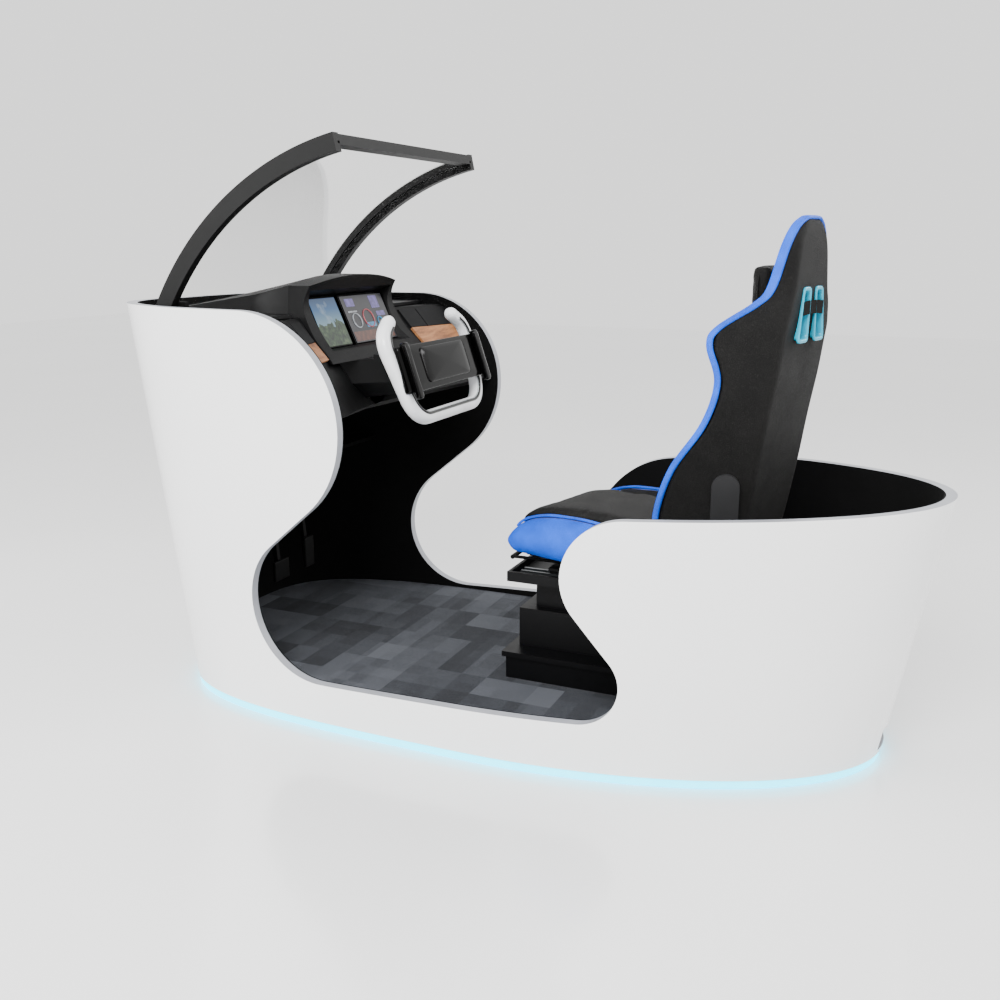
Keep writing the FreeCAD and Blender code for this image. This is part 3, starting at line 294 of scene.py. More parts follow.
def make_panel_glow(name, colour, strength):
    shader = Shader(name)
    shade = shader.ramp(shader.noise(70.0, 3.0), [(0.3, tinted(colour, 0.55)), (0.7, tinted(colour, 1.25))])
    shader.link(shade, shader.surface.inputs["Emission Color"])
    shader.set(Base_Color=(0.01, 0.01, 0.01, 1.0), Roughness=0.3, Emission_Strength=strength)
    return shader.material


MATERIALS = {
    "shell_white": make_shell_paint(),
    "shell_edge": plain("shell_cut_edge", (0.33, 0.34, 0.37), 0.32, 0.42),
    "lining_black": plain("lining_felt", grey(0.003), 0.85, 0.97, 900.0, 0.0003, Specular_IOR_Level=0.1),
    "steel_black": plain("steel_powder_coat", grey(0.0025), 0.5, 0.62, 1300.0, 0.00008,
                         Specular_IOR_Level=0.12),
    "foot_rubber": plain("rubber", grey(0.02), 0.75, 0.9),
    "plywood": plain("plywood", (0.55, 0.40, 0.25), 0.6, 0.75, 90.0, 0.0003),
    "carpet_grey": make_carpet(),
    "light_cyan": make_light(),
    "panel_dark": plain("panel_satin", (0.0065, 0.0065, 0.007), 0.5, 0.6, 1500.0, 0.00006,
                        Specular_IOR_Level=0.12),
    "trim_wood": make_wood(),
    "dash_black": plain("dash_soft_touch", (0.0025, 0.0025, 0.0027), 0.46, 0.56, 1700.0, 0.00012,
                        Specular_IOR_Level=0.14),
    "rim_white": plain("rim_satin_white", (0.80, 0.81, 0.83), 0.26, 0.34, 600.0, 0.00002, Coat_Weight=0.3),
    "groove_black": plain("groove_black", grey(0.005), 0.25, 0.35),
    "inlay_silver": plain("inlay_silver", (0.62, 0.66, 0.68), 0.18, 0.28, Metallic=1.0),
    "hub_gloss": plain("hub_piano_black", grey(0.001), 0.08, 0.14, 300.0, 0.00002, Specular_IOR_Level=0.12),
    "bright_steel": plain("ground_steel", (0.16, 0.17, 0.18), 0.26, 0.38, Metallic=1.0),
    "cast_alloy": plain("cast_alloy", (0.25, 0.25, 0.26), 0.4, 0.55, Metallic=1.0),
    "frame_black": plain("windscreen_frame", grey(0.006), 0.42, 0.52, 1100.0, 0.00006,
                         Specular_IOR_Level=0.16),
    "clear_screen": make_glass(),
    "pedal_black": plain("pedal_anodised", grey(0.003), 0.5, 0.65, Specular_IOR_Level=0.12),
    "case_black": plain("case_plastic", grey(0.004), 0.55, 0.7, Specular_IOR_Level=0.12),
    "stand_black": plain("stand_powder_coat", (0.0018, 0.0018, 0.0021), 0.36, 0.46, 1300.0, 0.00007,
                         Specular_IOR_Level=0.14),
    "seat_black": make_leather("leather_black_grained", (0.0065, 0.0062, 0.006), 300.0, 0.5, 0.72, 0.0011,
                               0.16),
    "seat_smooth": make_leather("leather_black_smooth", (0.0045, 0.0043, 0.0042), 620.0, 0.46, 0.6, 0.0004,
                                0.14),
    "seat_blue": make_leather("leather_blue_smooth", (0.003, 0.075, 0.62), 700.0, 0.36, 0.46, 0.00012, 0.2),
    "cover_grey": plain("cover_moulded", (0.020, 0.020, 0.021), 0.5, 0.6, 1200.0, 0.0001,
                        Specular_IOR_Level=0.25),
    "grommet_cyan": plain("grommet_cyan", (0.012, 0.36, 0.52), 0.22, 0.3),
    "strap_black": plain("strap_webbing", grey(0.004), 0.8, 0.9, 1400.0, 0.0004, Specular_IOR_Level=0.1),
}

LANDSCAPE = make_landscape()


# ---------------------------------------------------------------- mesh helpers

def build(name, vertices, faces, material, body, smooth=True, stand_in=()):
    """A mesh object in the frame's own coordinates that rides on a CAD body."""
    mesh = bpy.data.meshes.new(name)
    mesh.from_pydata([tuple(vertex) for vertex in vertices], [], faces)
    mesh.validate()
    bm = bmesh.new()
    bm.from_mesh(mesh)
    bmesh.ops.recalc_face_normals(bm, faces=bm.faces)
    bm.to_mesh(mesh)
    bm.free()
    mesh.polygons.foreach_set("use_smooth", [smooth] * len(mesh.polygons))
    mesh.materials.append(MATERIALS[material])
    piece = bpy.data.objects.new(name, mesh)
    bpy.context.scene.collection.objects.link(piece)
    if body:
        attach(piece, body)
    if stand_in:
        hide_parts(*stand_in)
    return piece


def loops_mesh(loops, closed_ends=True, ring=True):
    """Vertices and faces of a skin over equal loops; ring joins each loop's last point to its first."""
    count = len(loops[0])
    vertices = [point for loop in loops for point in loop]
    faces = []
    spans = count if ring else count - 1
    for level in range(len(loops) - 1):
        for index in range(spans):
            after = (index + 1) % count
            faces.append((level * count + index, level * count + after,
                          (level + 1) * count + after, (level + 1) * count + index))
    if closed_ends:
        faces.append(tuple(range(count))[::-1])
        faces.append(tuple((len(loops) - 1) * count + index for index in range(count)))
    return vertices, faces


def add_modifier(piece, kind, **values):
    modifier = piece.modifiers.new(kind.title(), kind)
    for key, value in values.items():
        setattr(modifier, key, value)
    return modifier


def curve_rows(rows, steps):
    """Smooth rows between stations (Catmull-Rom on every column), steps rows per span."""
    made = []
    for index in range(len(rows) - 1):
        before = rows[max(index - 1, 0)]
        first, second = rows[index], rows[index + 1]
        after = rows[min(index + 2, len(rows) - 1)]
        for step in range(steps):
            t = step / steps
            made.append([0.5 * (2 * b + (c - a) * t + (2 * a - 5 * b + 4 * c - d) * t * t
                                + (3 * b - a - 3 * c + d) * t ** 3)
                         for a, b, c, d in zip(before, first, second, after)])
    made.append(list(rows[-1]))
    return made


def rounded(corners, radius, steps=5):
    """A closed outline with its corners rounded by a quadratic curve."""
    made = []
    count = len(corners)
    for index, corner in enumerate(corners):
        corner = Vector(corner)
        before, after = Vector(corners[index - 1]), Vector(corners[(index + 1) % count])
        reach_in = min(radius, (before - corner).length * 0.45)
        reach_out = min(radius, (after - corner).length * 0.45)
        start = corner + (before - corner).normalized() * reach_in
        end = corner + (after - corner).normalized() * reach_out
        for step in range(steps + 1):
            t = step / steps
            made.append(start * (1 - t) ** 2 + corner * 2 * t * (1 - t) + end * t * t)
    return made


def tube(name, path, radius, material, body, sides=12, closed=False, flat=1.0, stand_in=()):
    """A piece swept along a path by parallel transport; flat squeezes it across."""
    path = [Vector(point) for point in path]
    count = len(path)
    loops = []
    normal = None
    for index, point in enumerate(path):
        ahead = path[(index + 1) % count] if closed or index < count - 1 else point
        behind = path[index - 1] if closed or index > 0 else point
        tangent = (ahead - behind).normalized()
        if normal is None:
            helper = Vector((0, 0, 1)) if abs(tangent.z) < 0.9 else Vector((1, 0, 0))
            normal = tangent.cross(helper).normalized()
        normal = (normal - tangent * normal.dot(tangent)).normalized()
        side = tangent.cross(normal)
        loops.append([point + normal * math.cos(2 * math.pi * k / sides) * radius
                      + side * math.sin(2 * math.pi * k / sides) * radius * flat for k in range(sides)])
    if closed:
        loops.append(loops[0])
    vertices, faces = loops_mesh(loops, closed_ends=not closed)
    return build(name, vertices, faces, material, body, stand_in=stand_in)


def puff(piece, pressure=4.0, cap=0.012, voxel=0.005):
    """Swells a padded piece by a short cloth simulation, no point moving further than cap."""
    add_modifier(piece, "REMESH", mode="VOXEL", voxel_size=voxel)
    apply_modifiers(piece)
    rest = [vertex.co.copy() for vertex in piece.data.vertices]
    cloth = piece.modifiers.new("Cloth", "CLOTH")
    cloth.settings.use_pressure = True
    cloth.settings.uniform_pressure_force = pressure
    cloth.settings.effector_weights.gravity = 0.0
    cloth.settings.quality = 5
    cloth.point_cache.frame_start = 1
    cloth.point_cache.frame_end = 20
    for number in range(1, 21):
        bpy.context.scene.frame_set(number)
    apply_modifiers(piece)
    for vertex, start in zip(piece.data.vertices, rest):
        move = vertex.co - start
        if move.length > cap:
            vertex.co = start + move.normalized() * cap
    bpy.context.scene.frame_set(1)
    piece.data.polygons.foreach_set("use_smooth", [True] * len(piece.data.polygons))
    add_modifier(piece, "SMOOTH", factor=0.5, iterations=4)
    add_modifier(piece, "SUBSURF", levels=1, render_levels=1)
    apply_modifiers(piece)
    return piece


def apply_modifiers(piece):
    """Replaces the piece's mesh by the result of its modifiers."""
    graph = bpy.context.evaluated_depsgraph_get()
    mesh = bpy.data.meshes.new_from_object(piece.evaluated_get(graph))
    mesh.materials.clear()
    for slot in piece.data.materials:
        mesh.materials.append(slot)
    piece.modifiers.clear()
    piece.data = mesh


# ---------------------------------------------------------------- CAD nodes that stay visible

BEVELS = {
    "pedestal_base": 0.003, "pedestal_lid": 0.006, "pedestal_riser": 0.004, "seat_column": 0.004,
    "seat_plate": 0.004, "lower_rails": 0.001, "seat_carriage": 0.0015, "dash_panels": 0.0015,
    "wood_trims": 0.0015, "windscreen_arm_left": 0.0008, "windscreen_arm_right": 0.0008,
    "windscreen_header": 0.0008, "game_computer": 0.003, "seat_pan": 0.002, "power_inlet": 0.001,
    "pedal_bracket": 0.001, "equipment_shelf": 0.001,
}


def dress_cad_nodes():
    slots = {row["node"]: row["material_slot"] for row in frame["record"]["subparts"]}
    for name, node in nodes.items():
        node.data.materials.clear()
        node.data.materials.append(MATERIALS.get(slots[name], MATERIALS["case_black"]))
        if name in BEVELS:
            add_modifier(node, "BEVEL", width=BEVELS[name], segments=3, limit_method="ANGLE",
                         angle_limit=math.radians(35.0))


SHELL_HALF_LENGTH = 1.0947
SHELL_HALF_WIDTH = 0.518
SHELL_CENTRE_X = -0.016
SHELL_WALL = 0.028


def shell_depth(point):
    """How far a point lies inside the shell's outer surface, near enough to tell faces apart."""
    along, across = point.x - SHELL_CENTRE_X, point.y
    side = SHELL_HALF_WIDTH + 0.0394 * point.z
    front = along >= 0
    reach = SHELL_HALF_LENGTH + (0.132 if front else 0.173) * point.z
    power = 3.636 if front else 2.004
    size = ((abs(along) / reach) ** power + (abs(across) / side) ** power) ** (1.0 / power)
    distance = math.hypot(along, across)
    return distance * (1.0 / max(size, 1e-6) - 1.0)


def dress_shell():
    """White outside, grey on the cut edges, black on the face behind the lining."""
    for name in ("shell_front", "shell_rear"):
        mesh = nodes[name].data
        mesh.materials.append(MATERIALS["shell_edge"])
        mesh.materials.append(MATERIALS["lining_black"])
        for face in mesh.polygons:
            depths = [shell_depth(mesh.vertices[index].co) for index in face.vertices]
            if max(depths) < SHELL_WALL * 0.25:
                face.material_index = 0
            elif min(depths) > SHELL_WALL * 0.75:
                face.material_index = 2
            else:
                face.material_index = 1


# ---------------------------------------------------------------- displays

def screen_frame():
    """Origin and upward direction of the display plane, and its outward normal."""
    low, high = Vector((0.538, 0.0, 1.095)), Vector((0.608, 0.0, 1.251))
    upward = (high - low).normalized()
    outward = Vector((-upward.z, 0.0, upward.x))
    return low, upward, outward


def on_screen(across, up, proud=0.0):
    low, upward, outward = screen_frame()
    return low + Vector((0.0, across, 0.0)) + upward * up + outward * proud


def screen_plate(name, left, right, bottom, top, material, proud, chamfer=0.002):
    """A thin rounded plate on the display plane, from left to right across and bottom to top."""
    outline = rounded([(left, bottom, 0), (right, bottom, 0), (right, top, 0), (left, top, 0)], chamfer, 4)
    front = [on_screen(point.x, point.y, proud) for point in outline]
    back = [on_screen(point.x, point.y, 0.0002) for point in outline]
    vertices, faces = loops_mesh([back, front])
    return build(name, vertices, faces, material, "cabinet", smooth=False)


def make_displays():
    for name in ("display_left", "display_right"):
        nodes[name].data.materials.clear()
        nodes[name].data.materials.append(MATERIALS["hub_gloss"])
    MATERIALS["landscape"] = LANDSCAPE
    screen_plate("screen_left_picture", 0.217, 0.071, 0.006, 0.160, "landscape", 0.0010)
    tones = {
        "glow_violet": ((0.17, 0.13, 0.42), 1.0), "glow_blue": ((0.04, 0.30, 0.55), 1.1),
        "glow_brown": ((0.14, 0.04, 0.02), 0.9), "glow_white": ((0.55, 0.58, 0.62), 0.9),
        "glow_red": ((0.55, 0.12, 0.14), 1.0), "glow_dark": ((0.012, 0.012, 0.02), 0.8),
    }
    for name, (colour, strength) in tones.items():
        MATERIALS[name] = make_panel_glow("screen_" + name, colour, strength)
    screen_plate("screen_right_ground", 0.042, -0.217, 0.004, 0.160, "glow_dark", 0.0010)
    tiles = [
        ("tile_violet_a", 0.020, -0.030, 0.124, 0.150, "glow_violet"),
        ("tile_violet_b", -0.130, -0.180, 0.112, 0.154, "glow_violet"),
        ("tile_white", 0.022, -0.030, 0.104, 0.109, "glow_white"),
        ("tile_violet_c", -0.145, -0.196, 0.084, 0.100, "glow_violet"),
        ("tile_blue", -0.060, -0.118, 0.050, 0.066, "glow_blue"),
        ("tile_brown", 0.036, -0.208, 0.008, 0.040, "glow_brown"),
    ]
    for name, left, right, bottom, top, material in tiles:
        screen_plate("screen_" + name, left, right, bottom, top, material, 0.0016)
    for name, across, up, size, material in (("dial_large", -0.012, 0.076, 0.024, "glow_white"),
                                             ("dial_middle", -0.085, 0.080, 0.030, "glow_red"),
                                             ("dial_small", -0.150, 0.066, 0.014, "glow_blue")):
        ring = [on_screen(across + size * math.cos(2 * math.pi * k / 48),
                          up + size * math.sin(2 * math.pi * k / 48),
                          0.0024) for k in range(48)]
        tube("screen_" + name, ring, 0.0018, material, "cabinet", sides=8, closed=True)


# ---------------------------------------------------------------- yoke

RIM_LOW = 0.148
BEND_CENTRE, BEND_RADIUS = (0.150, -0.058), 0.090
SHOULDER_CENTRE, SHOULDER_RADIUS = (0.204, 0.072), 0.066
TIP_HEADING, TIP_LENGTH = math.radians(147.0), 0.040


def yoke_point(along, across, up):
    axis = Vector((math.cos(COLUMN_SLOPE), 0.0, -math.sin(COLUMN_SLOPE)))
    upward = Vector((math.sin(COLUMN_SLOPE), 0.0, math.cos(COLUMN_SLOPE)))
    return YOKE_CENTRE + axis * along + Vector((0.0, across, 0.0)) + upward * up


def arc(centre, radius, start, end, steps):
    return [(centre[0] + radius * math.cos(start + (end - start) * step / steps),
             centre[1] + radius * math.sin(start + (end - start) * step / steps))
            for step in range(steps + 1)]


def rim_half():
    """The left half of the rim's centre line as (across, up), from the bottom's middle to the tip."""
    gap = (SHOULDER_CENTRE[0] - BEND_CENTRE[0], SHOULDER_CENTRE[1] - BEND_CENTRE[1])
    length = math.hypot(*gap)
    heading = math.atan2(gap[1], gap[0])
    lean = heading - math.acos((BEND_RADIUS - SHOULDER_RADIUS) / length)
    points = [(BEND_CENTRE[0] * step / 10.0, -RIM_LOW) for step in range(10)]
    points += arc(BEND_CENTRE, BEND_RADIUS, -math.pi / 2.0, lean, 14)
    points += arc(SHOULDER_CENTRE, SHOULDER_RADIUS, lean, TIP_HEADING - math.pi / 2.0, 14)
    last = points[-1]
    points += [(last[0] + math.cos(TIP_HEADING) * TIP_LENGTH * step / 5.0,
                last[1] + math.sin(TIP_HEADING) * TIP_LENGTH * step / 5.0) for step in range(1, 6)]
    return points


def rim_profile():
    """The rim's section: round outside, flattened on the driver's side, as (inward, along)."""
    section = []
    for step in range(28):
        angle = 2.0 * math.pi * step / 28.0
        inward, along = math.cos(angle), math.sin(angle)
        size = (abs(inward) ** 2.5 + abs(along) ** 2.5) ** (-1.0 / 2.5)
        section.append((0.0205 * size * inward, 0.0208 * size * along))
    return section


def make_yoke():
    half = rim_half()
    line = [(-across, up) for across, up in reversed(half[1:])] + half
    loops, inward_of = [], []
    count = len(line)
    ends = [0.0, 0.45, 0.75, 0.93]
    for index, (across, up) in enumerate(line):
        ahead, behind = line[min(index + 1, count - 1)], line[max(index - 1, 0)]
        length = math.hypot(ahead[0] - behind[0], ahead[1] - behind[1])
        tangent = ((ahead[0] - behind[0]) / length, (ahead[1] - behind[1]) / length)
        inward = (-tangent[1], tangent[0])
        inward_of.append(inward)
        loops.append([yoke_point(depth, across + inward[0] * side, up + inward[1] * side)
                      for side, depth in rim_profile()])

    def cap(index, tangent_sign):
        across, up = line[index]
        inward = inward_of[index]
        tangent = (inward[1] * tangent_sign, -inward[0] * tangent_sign)
        made = []
        for share in ends[1:]:
            size = math.sqrt(1.0 - share ** 2)
            reach = 0.020 * share
            made.append([yoke_point(depth * size, across + inward[0] * side * size + tangent[0] * reach,
                                    up + inward[1] * side * size + tangent[1] * reach)
                         for side, depth in rim_profile()])
        return made

    loops = cap(0, -1.0)[::-1] + loops + cap(count - 1, 1.0)
    vertices, faces = loops_mesh(loops)
    rim = build("yoke_rim_moulding", vertices, faces, "rim_white", "yoke",
                stand_in=("yoke_rim",))
    add_modifier(rim, "SUBSURF", levels=1, render_levels=1)
    trimmed = line[3:-3]
    for name, side, depth, radius, material in (("yoke_groove", 0.0085, -0.0188, 0.0048, "groove_black"),
                                                ("yoke_inlay", 0.0130, -0.0172, 0.0021, "inlay_silver")):
        path = [yoke_point(depth, across + inward[0] * side, up + inward[1] * side)
                for (across, up), inward in zip(trimmed, inward_of[3:-3])]
        tube(name, path, radius, material, "yoke", sides=10)


def yoke_slab(name, left, right, low, high, near, far, radius, material, crown=0.0, stand_in=()):
    """A rounded slab in the yoke's plane with an optional crowned driver's side."""
    outline = rounded([(left, low, 0), (right, low, 0), (right, high, 0), (left, high, 0)], radius, 6)
    middle = Vector(((left + right) / 2.0, (low + high) / 2.0, 0.0))
    loops = [[yoke_point(far, point.x, point.y) for point in outline]]
    for depth, share in ((near + (far - near) * 0.3, 1.0), (near + 0.0012, 0.992), (near, 0.965)):
        loops.append([yoke_point(depth, *(middle + (point - middle) * share).to_2d()) for point in outline])
    for share in (0.75, 0.45, 0.15):
        loops.append([yoke_point(near - crown * (1.0 - share ** 2),
                                 *(middle + (point - middle) * share).to_2d())
                      for point in outline])
    vertices, faces = loops_mesh(loops)
    return build(name, vertices, faces, material, "yoke", stand_in=stand_in)


def make_hub():
    yoke_slab("yoke_hub_body", 0.262, -0.262, -0.070, 0.070, -0.037, -0.015, 0.012, "hub_gloss",
              crown=0.004, stand_in=("yoke_hub",))
    yoke_slab("yoke_hub_pad", 0.150, -0.150, -0.052, 0.056, -0.043, -0.036, 0.022, "hub_gloss", crown=0.005)
    for side, label in ((1, "left"), (-1, "right")):
        yoke_slab("yoke_bar_" + label, side * 0.252, side * 0.224, -0.092, 0.078, -0.054, -0.0375,
                              0.012, "hub_gloss", crown=0.002)
    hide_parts("hub_bars")
    boss = [yoke_point(-0.014 + 0.084 * step, 0.042 * math.cos(angle), 0.042 * math.sin(angle))
            for step in (0, 1) for angle in [2.0 * math.pi * k / 40 for k in range(40)]]
    vertices, faces = loops_mesh([boss[:40], boss[40:]])
    collar = build("yoke_collar", vertices, faces, "groove_black", "yoke")
    add_modifier(collar, "BEVEL", width=0.003, segments=3, limit_method="ANGLE")


# ---------------------------------------------------------------- seat

def seat(along, across, up):
    return SEAT @ Vector((along, across, up))


# height, rear face, half width of the rear face, front edge, half width at the edge, centre of the front
BACK = [
    (0.610, -0.394, 0.118, -0.206, 0.228, -0.262),
    (0.694, -0.408, 0.130, -0.192, 0.246, -0.266),
    (0.830, -0.430, 0.135, -0.235, 0.252, -0.300),
    (0.962, -0.449, 0.135, -0.322, 0.248, -0.352),
    (1.073, -0.468, 0.135, -0.354, 0.245, -0.388),
    (1.162, -0.480, 0.135, -0.334, 0.258, -0.398),
    (1.205, -0.486, 0.132, -0.350, 0.248, -0.404),
    (1.262, -0.490, 0.118, -0.410, 0.168, -0.424),
    (1.300, -0.491, 0.104, -0.431, 0.134, -0.440),
    (1.400, -0.491, 0.084, -0.452, 0.112, -0.456),
    (1.450, -0.489, 0.056, -0.460, 0.076, -0.463),
    (1.471, -0.482, 0.024, -0.466, 0.034, -0.468),
]
BAND = 0.018


def back_rows():
    return curve_rows(BACK, 7)


def make_back_shell():
    """The upholstered back: a flat rear panel between two creases and a facet to each edge."""
    loops = []
    for up, rear, rear_half, front, half, centre in back_rows():
        depth = min(BAND, (front - rear) * 0.4)
        edge = front - depth
        deep = min(centre, front) - depth
        inner = max(half - min(0.095, half * 0.42), 0.01)
        corners = [(rear, -rear_half, 0), (rear, rear_half, 0), (edge, half, 0), (deep, inner, 0),
                   (deep, -inner, 0), (edge, -half, 0)]
        outline = []
        for corner, radius in zip(range(6), (0.012, 0.012, 0.006, 0.01, 0.01, 0.006)):
            before, here, after = corners[corner - 1], corners[corner], corners[(corner + 1) % 6]
            trio = rounded([before, here, after], radius, 5)
            outline += trio[6:12]
        dense = []
        for first, second in zip(outline, outline[1:] + outline[:1]):
            dense.append(first)
            if (second - first).length > 0.012:
                dense += [first.lerp(second, share) for share in (0.2, 0.4, 0.6, 0.8)]
        loops.append((up, dense))
    loops = [[seat(p.x, p.y, up) for p in resample(dense, 120)] for up, dense in loops]
    vertices, faces = loops_mesh(loops)
    shell = build("backrest_cover", vertices, faces, "seat_black", "backrest",
                  stand_in=("backrest_shell",))
    cut_strap_holes(shell)
    return shell


def resample(outline, count):
    """The closed outline's points respaced evenly, starting at the first."""
    closed = outline + outline[:1]
    lengths = [0.0]
    for first, second in zip(closed, closed[1:]):
        lengths.append(lengths[-1] + (second - first).length)
    made, index = [], 0
    for number in range(count):
        want = lengths[-1] * number / count
        while lengths[index + 1] < want:
            index += 1
        span = lengths[index + 1] - lengths[index]
        made.append(closed[index].lerp(closed[index + 1], (want - lengths[index]) / max(span, 1e-9)))
    return made


HOLE = [(0.024, 1.168), (0.076, 1.168), (0.056, 1.296), (0.018, 1.296)]


def hole_outline(side, grow):
    corners = [(side * across, up, 0.0) for across, up in HOLE]
    middle = sum((Vector(corner) for corner in corners), Vector()) / 4.0
    shaped = []
    for corner in corners:
        away = Vector(corner) - middle
        shaped.append(middle + away * (1.0 + grow / away.length))
    return rounded(shaped, 0.012, 5)


def cut_strap_holes(piece):
    """Cuts the two strap holes right through a piece of the backrest."""
    for side in (1, -1):
        outline = hole_outline(side, 0.0005)
        loops = [[seat(along, point.x, point.y) for point in outline] for along in (-0.56, -0.30)]
        vertices, faces = loops_mesh(loops)
        cutter = build("strap_cutter", vertices, faces, "seat_black", None)
        modifier = add_modifier(piece, "BOOLEAN", operation="DIFFERENCE", object=cutter, solver="EXACT")
        modifier.use_self = False
        apply_modifiers(piece)
        bpy.data.objects.remove(cutter)


def make_grommets():
    for side, label in ((1, "left"), (-1, "right")):
        loops = []
        for along, grow in ((-0.494, 0.006), (-0.4965, 0.004), (-0.4965, -0.001), (-0.492, -0.005),
                            (-0.440, -0.005), (-0.440, -0.001), (-0.486, -0.001), (-0.490, 0.006)):
            outline = hole_outline(side, grow)
            loops.append([seat(along, point.x, point.y) for point in outline])
        loops.append(loops[0])
        vertices, faces = loops_mesh(loops, closed_ends=False)
        ring = build("grommet_" + label, vertices, faces, "grommet_cyan", "backrest")
        if side == 1:
            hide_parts("strap_grommets")


def back_edge_path():
    rows = back_rows()
    left = [(front - BAND * 0.5, half, up) for up, _, _, front, half, _ in rows]
    right = [(along, -across, up) for along, across, up in reversed(left)]
    return left + right


def make_back_band():
    """The blue edge strip round the backrest, wider beside the head."""
    path = back_edge_path()
    count = len(path)
    loops = []
    for index, (along, across, up) in enumerate(path):
        ahead, behind = Vector(path[min(index + 1, count - 1)]), Vector(path[max(index - 1, 0)])
        tangent = (ahead - behind).normalized()
        forward = Vector((1.0, 0.0, 0.0))
        forward = (forward - tangent * forward.dot(tangent)).normalized()
        outward = tangent.cross(forward)
        if outward.y * across < 0 and abs(across) > 0.02:
            outward = -outward
        if abs(across) <= 0.02 and outward.z < 0:
            outward = -outward
        head = min(max((up - 1.22) / 0.10, 0.0), 1.0)
        half_wide = 0.0088 + 0.0042 * head
        section = []
        for step in range(14):
            angle = 2.0 * math.pi * step / 14.0
            wide, tall = math.cos(angle), math.sin(angle)
            size = (abs(wide) ** 3.0 + abs(tall) ** 3.0) ** (-1.0 / 3.0)
            offset = forward * (half_wide * size * wide) + outward * (0.0055 * size * tall)
            section.append(SEAT @ (Vector((along, across, up)) + offset))
        loops.append(section)
    vertices, faces = loops_mesh(loops)
    band = build("backrest_edge_band", vertices, faces, "seat_blue", "backrest")
    add_modifier(band, "SUBSURF", levels=1, render_levels=1)


def make_back_front():
    """The padded front: a centre pad with sewn channels and a bolster along each side."""
    rows = [row for row in back_rows() if row[0] <= 1.402]
    pads, wings = [], {1: [], -1: []}
    for up, rear, _, front, half, centre in rows:
        depth = min(BAND, (front - rear) * 0.4)
        inner = max(half - min(0.095, half * 0.42), 0.02)
        deep = min(centre, front) - depth + 0.002
        outline = rounded([(deep, -inner + 0.003, 0), (deep, inner - 0.003, 0),
                           (centre - 0.004, inner - 0.006, 0),
                           (centre + 0.001, 0.0, 0), (centre - 0.004, -inner + 0.006, 0)], 0.012, 4)
        pads.append([seat(p.x, p.y, up) for p in resample(outline, 60)])
        for side in (1, -1):
            shape = [(deep, side * (inner + 0.001), 0), (front - depth + 0.002, side * (half - 0.004), 0),
                     (front - 0.003, side * (half - 0.008), 0),
                     (front - 0.004, side * max(half - 0.030, inner + 0.008), 0),
                     (centre - 0.002, side * (inner + 0.003), 0)]
            wings[side].append([seat(p.x, p.y, up) for p in resample(rounded(shape, 0.010, 4), 60)])
    vertices, faces = loops_mesh(pads)
    pad = build("backrest_centre_pad", vertices, faces, "seat_smooth", "backrest",
                stand_in=("backrest_pad",))
    puff(pad, cap=0.007, voxel=0.006)
    cut_strap_holes(pad)
    for side, label in ((1, "left"), (-1, "right")):
        vertices, faces = loops_mesh(wings[side])
        wing = build("backrest_bolster_" + label, vertices, faces, "seat_smooth", "backrest")
        puff(wing, cap=0.005, voxel=0.005)
        if side == 1:
            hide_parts("backrest_bolsters")
    for up in (0.74, 0.83, 0.92, 1.01, 1.10):
        row = min(rows, key=lambda item: abs(item[0] - up))
        inner = row[4] - min(0.095, row[4] * 0.42) - 0.012
        path = [seat(row[5] + 0.0062 - 0.006 * (step / 10.0) ** 2, inner * step / 10.0, up)
                for step in range(-10, 11)]
        tube(f"back_channel_{int(up * 1000)}", path, 0.0022, "seat_smooth", "backrest", sides=8)


def make_pillow():
    corners = [(-0.424, -0.122, 0), (-0.424, 0.122, 0), (-0.372, 0.112, 0), (-0.372, -0.112, 0)]
    levels = [(1.247, 0.82), (1.252, 0.93), (1.262, 1.0), (1.296, 1.02), (1.330, 1.0), (1.343, 0.93),
              (1.350, 0.80)]
    loops = []
    for up, share in levels:
        outline = resample(rounded(corners, 0.022, 6), 72)
        loops.append([seat(-0.400 + (p.x + 0.400) * share, p.y * (0.94 + 0.06 * share), up) for p in outline])
    vertices, faces = loops_mesh(loops)
    pillow = build("headrest_cushion", vertices, faces, "seat_smooth", "backrest",
                   stand_in=("headrest_pillow",))
    puff(pillow, cap=0.010, voxel=0.005)
    seam = [(-0.398, side_y, up) for side_y, up in
            [(0.121 * math.cos(a) * (abs(math.cos(a)) ** 4 + abs(math.sin(a)) ** 4) ** -0.25,
              1.298 + 0.052 * math.sin(a) * (abs(math.cos(a)) ** 4 + abs(math.sin(a)) ** 4) ** -0.25)
             for a in [2.0 * math.pi * k / 72.0 for k in range(72)]]]
    tube("headrest_seam", [seat(*point) for point in seam], 0.0022, "seat_smooth", "backrest",
         sides=8, closed=True)
    band = [seat(-0.4965, across, 1.247 + 0.004 * math.cos(across * 22.0)) for across in
            [-0.062 + 0.124 * step / 20.0 for step in range(21)]]
    loops = [[point + Vector((0, 0, rise)) + SEAT.to_3x3() @ Vector((thick, 0, 0))
              for rise, thick in ((-0.017, 0.0), (0.017, 0.0), (0.017, 0.003), (-0.017, 0.003))]
             for point in band]
    vertices, faces = loops_mesh(loops)
    build("headrest_band", vertices, faces, "strap_black", "backrest", smooth=False,
          stand_in=("headrest_strap",))


